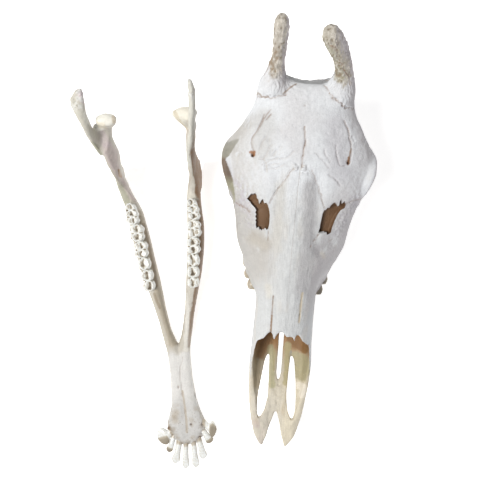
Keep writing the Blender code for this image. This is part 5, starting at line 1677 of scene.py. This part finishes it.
    def tones(self) -> list[Tone]:
        """The patches of other colours on the jaw, one of them painted shade."""
        brown, tan, green, lilac = "#8c6b4d", "#b5ab98", "#abaa97", "#cbbebb"
        return [
            Tone(tan, ((-0.0464, 0.416), (-0.0394, 0.3895), (-0.0337, 0.3538), (-0.0296, 0.3179),
                       (-0.0274, 0.2641), (-0.02, 0.226), (-0.013, 0.185)), 0.0085, 0.85, soft=0.8),
            Tone("#c9c3b5", ((-0.038, 0.27), (-0.031, 0.2274), (-0.023, 0.185)), 0.003, 0.7),
            Tone("#9d907c", ((-0.036, 0.276), (-0.033, 0.262), (-0.029, 0.25)), 0.0024, 0.8),
            Tone("#e2e0d8", ((0.0182, 0.27), (0.019, 0.24), (0.0149, 0.2056), (0.01, 0.17)), 0.0045, 0.9),
            Tone("#d9d6cb", ((0.037, 0.41), (0.03, 0.36), (0.023, 0.31), (0.019, 0.28)), 0.005, 0.6),
            Tone(green, ((-0.086, 0.52), (-0.082, 0.5), (-0.076, 0.478), (-0.0709, 0.465),
                         (-0.068, 0.45), (-0.064, 0.43)), 0.006, 0.9, soft=0.8),
            Tone(lilac, ((-0.0665, 0.5161), (-0.0661, 0.503), (-0.0648, 0.4905), (-0.062, 0.478),
                         (-0.056, 0.462), (-0.05, 0.448)), 0.0085, 0.85, soft=1.0),
            Tone("#c9bdc0", ((-0.077, 0.555), (-0.074, 0.54), (-0.07, 0.525)), 0.006, 0.6, soft=1.0),
            Tone("#c8c6b9", ((-0.0972, 0.5784), (-0.0895, 0.565), (-0.0851, 0.5545), (-0.0823, 0.5388)),
                 0.007, 0.7, soft=1.0),
            Tone("#d7cdcf", ((-0.0796, 0.59), (-0.08, 0.575)), 0.0035, 0.9),
            Tone("#ab8350", ((-0.0652, 0.49), (-0.0661, 0.48)), 0.001, 0.8, within=(0.089, 0.115)),
            Tone("#ecebe1", ((-0.0735, 0.554), (-0.0641, 0.558), (-0.054, 0.556)), 0.011, 1.0,
                 within=(0.16, 0.215)),
            Tone("#d9c9a4", ((-0.074, 0.55), (-0.064, 0.548)), 0.003, 0.3, within=(0.16, 0.215)),
            Tone("#b9a481", ((-0.048, 0.56), (-0.0478, 0.548)), 0.0024, 0.5, within=(0.15, 0.215)),
            Tone("#e9e6d9", ((0.0466, 0.5554), (0.0573, 0.5558), (0.07, 0.556)), 0.011, 1.0,
                 within=(0.16, 0.2)),
            Tone("#c4b697", ((0.044, 0.561), (0.05, 0.545), (0.056, 0.538)), 0.0026, 0.5,
                 within=(0.15, 0.2)),
            Tone("#d3d3ca", ((0.074, 0.586), (0.0745, 0.5653), (0.07, 0.5418), (0.063, 0.523),
                             (0.056, 0.5064), (0.051, 0.49)), 0.0055, 0.85, soft=0.8),
            Tone("#dedbd0", ((0.0385, 0.45), (0.044, 0.44), (0.052, 0.438)), 0.006, 0.7, soft=1.0),
            Tone(brown, ((0.064, 0.502), (0.064, 0.48), (0.062, 0.4578), (0.06, 0.442)), 0.006, 0.9,
                 soft=0.8),
            # Painted shade along the inner side of the right row of cheek teeth
            Tone("#8a7763", ((-0.03, 0.29), (-0.0325, 0.33), (-0.0365, 0.365), (-0.042, 0.4)), 0.0022, 0.6),
            Tone("#b3a58f", ((-0.003, 0.095), (-0.001, 0.07), (0.0, 0.035), (-0.001, 0.02)), 0.002, 0.6),
            Tone("#b0a491", ((-0.019, 0.056), (-0.02, 0.044)), 0.007, 0.6, soft=1.4),
            Tone("#87705a", ((0.06, 0.42), (0.0588, 0.4081), (0.0582, 0.3644), (0.0533, 0.3294),
                             (0.0457, 0.2937), (0.039, 0.26), (0.03, 0.22)), 0.0056, 0.85, soft=0.8),
            Tone("#8f7b68", ((0.026, 0.262), (0.025, 0.24), (0.02, 0.205), (0.015, 0.175)), 0.0022, 0.6,
                 within=(0.0, 0.034))]

    def regions(self, places: Array, facing: Array) -> dict[str, Array]:
        """How far each corner belongs to each region that has a name."""
        x, y, _ = places.T
        front = self.front[:6]
        rim = [(-a, b) for a, b in reversed(front)] + list(front)
        return {"chin": fade(y + 0.006 * ripple(places, 0.012, 1, 72), 0.172, 0.158),
                "ring": fade(np.hypot(x, y - 0.03), 0.022, 0.034),
                "sockets": bell(to_path(places[:, :2], rim), 0.0062)}

    def painted(self, skin: Skin) -> Paint:
        """The colours of a half of the jaw."""
        paint = Paint(len(skin.places), self.ground)
        paint.lay_all(self.layers, skin)
        paint.lay_tones(self.tones(), skin)
        # The holes are painted nearly black, which stands for the shade inside them
        for pit, size in self.pits:
            near = bell(to_path(skin.places[:, :2], (pit,)), size)
            paint.lay("#4b3a2a", 0.95 * near * (skin.places[:, 2] > 0.01))
        paint.lay_all([self.tip_layer], skin)
        return paint

    def values(self, skin: Skin) -> dict[str, Array]:
        """How soiled, how streaked and how porous the bone is."""
        soil = 0.25 * skin.share(self.rough) * fade(ripple(skin.places, 0.005, 2, 75), 0.1, 0.7)
        return {"soil": soil + 0.3 * skin.share(self.brown_outer_side), "streak": 0.9 * skin.share(self.fibrous),
                "porous": np.maximum(skin.share(self.rough_chin), skin.share(self.tips)).clip(0.2)}

    def build(self) -> None:
        """Melt, carve, part and dress the jaw."""
        bones = [self.bone("mandible_" + side) for side, _ in SIDES]
        keep = [(x + self.shifted(y), y) for x, y in self.front]
        keep += [(-x + self.shifted(y), y) for x, y in reversed(self.front)]
        trimmed = []
        for mesh in bones:
            mesh = cut(mesh, prism(self.tooth_space, -FAR, FAR, Seen.LEFT), Keep.OUTSIDE)
            trimmed.append(cut(mesh, prism(keep, -FAR, FAR), Keep.INSIDE))
        skin = self.joined(trimmed)
        LOG.info("jaw skin: %d faces", len(skin.polygons))
        self.carved(skin)
        for side, sign in SIDES:
            half = cut(skin.copy(), self.half_space(sign), Keep.INSIDE)
            self.finished(half, "jaw_half_" + side, "mandible_" + side, Slot.JAW)

    def half_space(self, sign: float) -> Mesh:
        """The space of one half, along the bent middle line."""
        line = []
        for y in np.arange(-0.06, 0.62, 0.002):
            wave = 0.0006 * float(ripple(np.array([[0.0, y, 0.0]]), 0.006, 2, 7)[0])
            line.append((self.shifted(y) + wave + sign * SEAM / 2, float(y)))
        return prism([(sign * FAR, line[0][1]), *line, (sign * FAR, line[-1][1])], -FAR, FAR)


@dataclass(frozen=True)
class CheekTooth:
    """One cheek tooth with crescent ridges.

    Args:
        middle: its middle in plan.
        width: across the row.
        length: along the row.
        lobes: how many crescents it has in line.
        crown: height of the crown above the gum.
        gum: height of the gum.
        upper: whether the crown points down.
        bands: outer crescent, inner crescent and valley as (place across, bow, width, limits along the lobe).
        crescents: how high the outer and the inner ridge stand.
        sinks: how deep the valley, the gap between lobes, the edge and the crumbs lie.
        skirt: the rings below the crown as (drop as a share of the crown, size, neck).
        spread: share by which the width varies.
        tilt: how far the ends of the crown tilt up or down.
        sunk: how far the middle of the surface lies below the crown's height.
    """

    middle: Spot
    width: float
    length: float
    lobes: int
    crown: float
    gum: float
    upper: bool
    bands: tuple[tuple[float, float, float, Spot], ...] = (
        (0.66, -0.62, 0.12, (1.05, 0.8)), (-0.66, 0.3, 0.12, (1.05, 0.8)), (-0.02, -0.25, 0.17, (0.9, 0.55)))
    crescents: Spot = (0.0015, 0.0018)
    sinks: tuple[float, ...] = (0.0034, 0.0022, 0.0012, 0.0006)
    skirt: tuple[Point, ...] = ((0.35, 1.05, 0.15), (0.35, 1.0, 0.45), (0.3, 0.93, 1.0), (0.45, 0.86, 1.0))
    spread: float = 0.03
    tilt: float = 0.0004
    sunk: float = 0.0012

    def heights(self, across: Array, along: Array, seed: int) -> tuple[Array, Array]:
        """The relief of the chewing surface.

        Args:
            across: from -1 on the tongue's side to 1 on the cheek's.
            along: from -1 to 1 along the tooth.
            seed: picks the wear.

        Returns:
            The height over the crown's rim, and how far each place is a hollow.
        """
        phase = (along + 1.0) / 2.0 * self.lobes
        local = 2.0 * (phase - np.floor(np.minimum(phase, self.lobes - 1e-6))) - 1.0
        spots = np.column_stack((across, phase, np.full(len(across), 0.37)))
        turned = (-across if self.upper else across) + 0.26 * ripple(spots, 0.5, 2, seed)
        local = local + 0.16 * ripple(spots, 0.5, 2, seed + 1)
        # Each lobe has an outer and an inner crescent of enamel with a dark valley between them
        outer, inner, valley = (
            bell(turned - place - bow * local ** 2, width) * fade(np.abs(local), *ends)
            for place, bow, width, ends in self.bands)
        worn = np.maximum(bell(turned - 0.36, 0.12), bell(turned - 0.88, 0.12))
        worn *= fade(np.abs(local), 0.75, 0.4)
        gap = fade(np.abs(local), 0.72, 1.0) * fade(np.abs(turned), 0.15, 0.6)
        crumbs = fade(ripple(spots, 0.3, 2, seed + 2), 0.15, 0.75)
        edge = fade(np.maximum(np.abs(across), np.abs(along)), 0.86, 1.0)
        height = sum(rise * form for rise, form in zip(self.crescents, (outer, inner)))
        height -= sum(sink * form for sink, form in zip(self.sinks, (valley, gap, edge, crumbs)))
        ridge = np.maximum(outer, inner)
        hollow = 0.95 * valley * (1.0 - 0.7 * ridge)
        hollow += (0.5 * worn + 0.75 * gap + 0.45 * crumbs) * (1.0 - ridge)
        return height, np.clip(hollow - 0.2 * edge, 0.0, 1.0)

    def outline(self, across: Array, along: Array) -> tuple[Array, Array]:
        """Where a point of the square grid stands in the lobed crown."""
        waist = 0.5 + 0.5 * np.cos(math.pi * self.lobes * (along + 1.0))
        narrow = 1.0 - 0.17 * waist * np.abs(across) - 0.14 * np.abs(along) ** 6
        if self.lobes == 3:
            narrow = narrow * (1.0 - 0.22 * fade(along, 0.3, 0.7))
        x = across * self.width / 2 * narrow
        y = along * self.length / 2 * (1.0 - 0.1 * across ** 2)
        return x, y

    def add_to(self, form: Form, sign: float, shift: Callable[[float], float],
               chance: random.Random) -> None:
        """Add the tooth to a row.

        Args:
            form: the row.
            sign: 1 on the animal's left, -1 on its right.
            shift: how far the bone bends aside at a distance from its front.
            chance: varies the tooth.
        """
        hollow_layer, neck_and_shade_layer = value_layer(form, "hollow"), value_layer(form, "neck")
        vary = 1.0 + chance.uniform(-self.spread, self.spread)
        tilt = chance.uniform(-self.tilt, self.tilt)
        made = bmesh.ops.create_grid(form, x_segments=18, y_segments=12 * self.lobes + 4, size=1.0)["verts"]
        grid = np.array([vert.co[:] for vert in made])
        height, hollow = self.heights(grid[:, 0], grid[:, 1], chance.randrange(60, 900))
        x, y = self.outline(grid[:, 0], grid[:, 1])
        up = -1.0 if self.upper else 1.0
        for index, vert in enumerate(made):
            rise = self.crown - self.sunk + height[index] + tilt * grid[index, 1]
            vert.co = (x[index] * vary, y[index], up * rise)
            vert[hollow_layer] = hollow[index]
        rim = [edge for edge in {edge for vert in made for edge in vert.link_edges} if edge.is_boundary]
        everything = list(made)
        for drop, size, neck in self.skirt:
            fresh, rim = next_ring(form, rim)
            for vert in fresh:
                vert.co.x *= size
                vert.co.y *= 1.0 + (size - 1.0) * 0.6
                vert.co.z -= up * self.crown * drop
                vert[hollow_layer] = 0.0
                vert[neck_and_shade_layer] = neck
            everything += fresh
        bmesh.ops.contextual_create(form, geom=rim)
        for vert in everything:
            place = vert.co + Vector((self.middle[0], self.middle[1], self.gum))
            vert.co = (sign * place.x + shift(place.y), place.y, place.z)


@dataclass(frozen=True)
class FrontTooth:
    """One front tooth of the jaw: a slim neck that widens to a rounded spade with a hollowed face.

    Args:
        root: where it leaves the bone, in plan.
        tip: the middle of its edge, in plan.
        half_width: half the crown's width.
        half_depth: half the crown's thickness.
        worn: how brown it is, from 0 to 1; on the outermost teeth it also sets painted shade.
        joint: where the oval crown of the outermost tooth sits on its neck, in plan.
    """

    root: Spot
    tip: Spot
    half_width: float
    half_depth: float
    worn: float
    joint: Spot | None = None

    stations: tuple[float, ...] = (0.0, 0.3, 0.5, 0.64, 0.78, 0.9, 0.97, 1.0)
    widths: tuple[float, ...] = (0.74, 0.74, 0.74, 0.8, 0.94, 1.02, 0.96, 0.86)
    spoon_stations: tuple[float, ...] = (0.0, 0.46, 0.51, 0.57, 0.66, 0.76, 0.86, 0.94, 1.0)
    spoon_widths: tuple[float, ...] = (0.42, 0.46, 0.62, 0.84, 0.97, 1.0, 0.9, 0.7, 0.45)
    depths: tuple[float, ...] = (0.95, 0.98, 0.98, 0.98, 0.92, 0.76, 0.52, 0.35)
    # How deep the face is hollowed, as a share of the thickness, and how far the edge's corners round off
    scoop: float = 0.45
    rounding: float = 0.0016

    def add_to(self, form: Form, sign: float, shift: Callable[[float], float],
               low: float, high: float) -> None:
        """Add the tooth to the row.

        Args:
            form: the row.
            sign: 1 on the animal's left, -1 on its right.
            shift: how far the bone bends aside at a distance from its front.
            low: height of its root.
            high: height of its tip.
        """
        hollow_layer, neck_and_shade_layer = value_layer(form, "hollow"), value_layer(form, "neck")
        start, end = Vector((*self.root, low)), Vector((*self.tip, high))
        joint = Vector((*self.joint, (low + high) / 2)) if self.joint else (start + end) / 2
        run = end - joint
        across = Vector((-run.y, run.x, 0.0)).normalized()
        upward = run.cross(across).normalized()
        if upward.z < 0:
            upward = -upward
        stations, widths = self.stations, self.widths
        if self.joint:
            stations, widths = self.spoon_stations, self.spoon_widths
        made = bmesh.ops.create_uvsphere(form, u_segments=24, v_segments=26, radius=1.0)["verts"]
        for vert in made:
            share = (1.0 + vert.co.z) / 2
            ring = max(math.hypot(vert.co.x, vert.co.y), 1e-6)
            side, rise = vert.co.x / ring, vert.co.y / ring
            close = min(1.0, ring * 2.2) ** 0.7
            wide = self.half_width * float(np.interp(share, stations, widths)) * close
            deep = self.half_depth * float(np.interp(share, self.stations, self.depths)) * close
            crown = float(fade(share, 0.6, 0.85))
            scoop = self.scoop * self.half_depth * crown * (1.0 - side * side) if rise > 0 else 0.0
            if share < 0.5:
                place = start + (joint - start) * (2.0 * share)
            else:
                place = joint + (end - joint) * (2.0 * share - 1.0)
            place += across * (wide * side) + upward * (deep * rise - scoop)
            place -= run.normalized() * (self.rounding * crown * (side * close) ** 2)
            vert.co = (sign * place.x + shift(place.y), place.y, place.z)
            if self.joint:
                # Darker from its lower end up, and over the whole crown where worn is high: partly its brown,
                # partly painted shade of a crown turned away from the light, in the colours of dentine and
                # dirt
                level = 2.0 * self.worn - 1.0 - 0.9 * side * close
                shade = 0.72 * fade(level, 0.0, 0.7) * fade(share, 0.46, 0.56)
                dark = 0.0
            else:
                shade = self.worn * fade(share, 0.7, 0.88) * (0.75 if rise > 0 else 0.4)
                # Painted shade along both sides of the crown and at its end, in the neck's colour
                dark = 0.75 * side ** 4 * fade(share, 0.99, 0.9) + 0.5 * float(share > 0.975)
            vert[hollow_layer] = float(shade)
            # Below the crown, the neck's colour: the cement, and painted shade between the roots
            vert[neck_and_shade_layer] = float(max(dark, 0.85 * fade(share, 0.4, 0.22)))


@dataclass
class Teeth:
    """The rows of teeth: two of cheek teeth above, two below, and the front teeth.

    Args:
        material: their finish.
        shift: how far the jaw bends aside at a distance from its front.
    """

    material: Material
    shift: Callable[[float], float]

    upper: tuple[tuple[Spot, float, float, int, float], ...] = (
        ((0.058, 0.2765), 0.019, 0.0195, 1, 0.015), ((0.064, 0.296), 0.0225, 0.0205, 1, 0.015),
        ((0.0665, 0.3165), 0.025, 0.021, 1, 0.0155), ((0.0675, 0.3405), 0.0265, 0.0275, 2, 0.016),
        ((0.0675, 0.369), 0.0275, 0.0295, 2, 0.0165), ((0.066, 0.398), 0.026, 0.0285, 2, 0.017))
    upper_gum: float = 0.0175
    lower: tuple[tuple[Spot, float, float, int, float, float], ...] = (
        ((0.0385, 0.292), 0.0205, 0.018, 1, 0.013, 0.0485),
        ((0.0402, 0.3105), 0.0215, 0.0198, 1, 0.014, 0.052),
        ((0.0425, 0.331), 0.022, 0.0218, 1, 0.015, 0.0555),
        ((0.0452, 0.356), 0.0225, 0.0285, 2, 0.016, 0.0585),
        ((0.0492, 0.385), 0.023, 0.0295, 2, 0.0165, 0.0615),
        ((0.0525, 0.418), 0.021, 0.0375, 3, 0.0165, 0.0655))
    # The front teeth of the left and right half: root, tip, half width, half thickness, how brown it is,
    # and where an oval crown sits on its neck
    front: tuple[tuple[tuple, ...], ...] = (
        (((0.0074, 0.01), (0.0088, -0.0465), 0.0062, 0.0042, 0.1),
         ((0.0165, 0.012), (0.0245, -0.0318), 0.0068, 0.0042, 0.1),
         ((0.0235, 0.027), (0.0402, -0.0036), 0.0074, 0.0044, 0.95),
         ((0.027, 0.04), (0.0534, 0.0192), 0.0155, 0.0048, 1.0, (0.041, 0.0215))),
        (((0.0052, 0.008), (0.0106, -0.0469), 0.0062, 0.0042, 0.1),
         ((0.015, 0.011), (0.0289, -0.0361), 0.0074, 0.0042, 0.1),
         ((0.022, 0.02), (0.0389, -0.0148), 0.006, 0.0038, 1.0),
         ((0.025, 0.024), (0.0555, 0.0116), 0.0162, 0.005, 0.7, (0.0358, 0.016))))
    front_heights: Spot = (0.013, 0.0172)

    def lay(self, form: Form, name: str, place: Placement, slot: Slot) -> None:
        """Lay a row of teeth down as a piece of its own."""
        bmesh.ops.recalc_face_normals(form, faces=form.faces)
        laid(taken(form), name, place, self.material)

    def build(self) -> None:
        """Make every row."""
        chance = random.Random(17)
        for (side, sign), front in zip(SIDES, self.front):
            row = bmesh.new()
            for middle, width, length, lobes, crown in self.upper:
                tooth = CheekTooth(middle, width, length, lobes, crown, self.upper_gum, True)
                tooth.add_to(row, sign, lambda y: 0.0, chance)
            self.lay(row, "upper_cheek_teeth_" + side, CRANIUM_PLACE, Slot.BLEACHED)
            row = bmesh.new()
            for middle, width, length, lobes, crown, gum in self.lower:
                tooth = CheekTooth(middle, width, length, lobes, crown, gum, False)
                tooth.add_to(row, sign, self.shift, chance)
            self.lay(row, "lower_cheek_teeth_" + side, JAW_PLACE, Slot.JAW)
            row = bmesh.new()
            for sizes in front:
                FrontTooth(*sizes).add_to(row, sign, self.shift, *self.front_heights)
            self.lay(row, "front_teeth_" + side, JAW_PLACE, Slot.JAW)


@dataclass
class Studio:
    """The white table, soft light from the upper left and the camera straight above.

    Args:
        eye: the camera's place.
        view_width: width of the image at one metre, in metres.
        shift: how far the frame is moved aside, as a share of its width.
        table: half the width of the table.
        lamps: each lamp's name, place, size, power and colour.
        sky: colour and strength of the light all round.
    """

    eye: Point = (0.0459, 0.0602, 1.0)
    view_width: float = 480.0 / 541.0
    shift: float = -20.0 / 480.0
    table: float = 6.0
    lamps: tuple[tuple[str, Point, float, float, str], ...] = (
        ("window", (-0.95, -0.1, 2.0), 0.8, 41.0, "#fffcf8"),
        ("fill", (0.9, -1.5, 1.5), 1.6, 3.0, "#ece8f4"))
    sky: tuple[str, float] = ("#f6f5f6", 0.3)

    def light(self, name: str, place: Point, size: float, power: float, colour: str) -> None:
        """A square soft light that looks at the skull."""
        lamp = bpy.data.lights.new(name, "AREA")
        lamp.shape = "SQUARE"
        lamp.size = size
        lamp.energy = power
        lamp.color = linear(colour)[:3]
        made = bpy.data.objects.new(name, lamp)
        made.location = place
        made.rotation_euler = (-Vector(place)).to_track_quat("-Z", "Y").to_euler()
        bpy.context.scene.collection.objects.link(made)

    def build(self) -> None:
        """Make the table, the lights and the camera."""
        form = bmesh.new()
        bmesh.ops.create_grid(form, x_segments=8, y_segments=8, size=self.table)
        mesh = taken(form, "table")
        mesh.materials.append(TableFinish().material())
        table = in_scene(mesh, "table")
        for lamp in self.lamps:
            self.light(*lamp)
        world = bpy.data.worlds.new("studio")
        bpy.context.scene.world = world
        world.use_nodes = True
        ground = world.node_tree.nodes["Background"]
        ground.inputs["Color"].default_value = linear(self.sky[0])
        ground.inputs["Strength"].default_value = self.sky[1]
        lens = bpy.data.cameras.new("camera")
        lens.sensor_width = 36.0
        lens.lens = lens.sensor_width / self.view_width
        lens.shift_x = self.shift
        lens.clip_start = 0.01
        camera = bpy.data.objects.new("camera", lens)
        camera.location = self.eye
        bpy.context.scene.collection.objects.link(camera)
        bpy.context.scene.camera = camera
        bpy.context.scene.view_settings.view_transform = "Standard"


def main() -> None:
    """Build the skull's pieces in order."""
    logging.basicConfig(level=logging.INFO, format="%(message)s")
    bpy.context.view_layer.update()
    bone = BoneFinish("sun_bleached_bone").material()
    jaw_bone = BoneFinish("greasy_jaw_bone", roughness=0.52).material()
    horn = BoneFinish("weathered_horn_core", soil="#77644b", roughness=0.78).material()
    materials = {Slot.BLEACHED: bone, Slot.JAW: jaw_bone, Slot.HORN: horn}
    Cranium(materials).build()
    jaw = Jaw(materials)
    jaw.build()
    Teeth(EnamelFinish().material(), jaw.shifted).build()
    Studio().build()


if __name__ == "__main__":
    main()
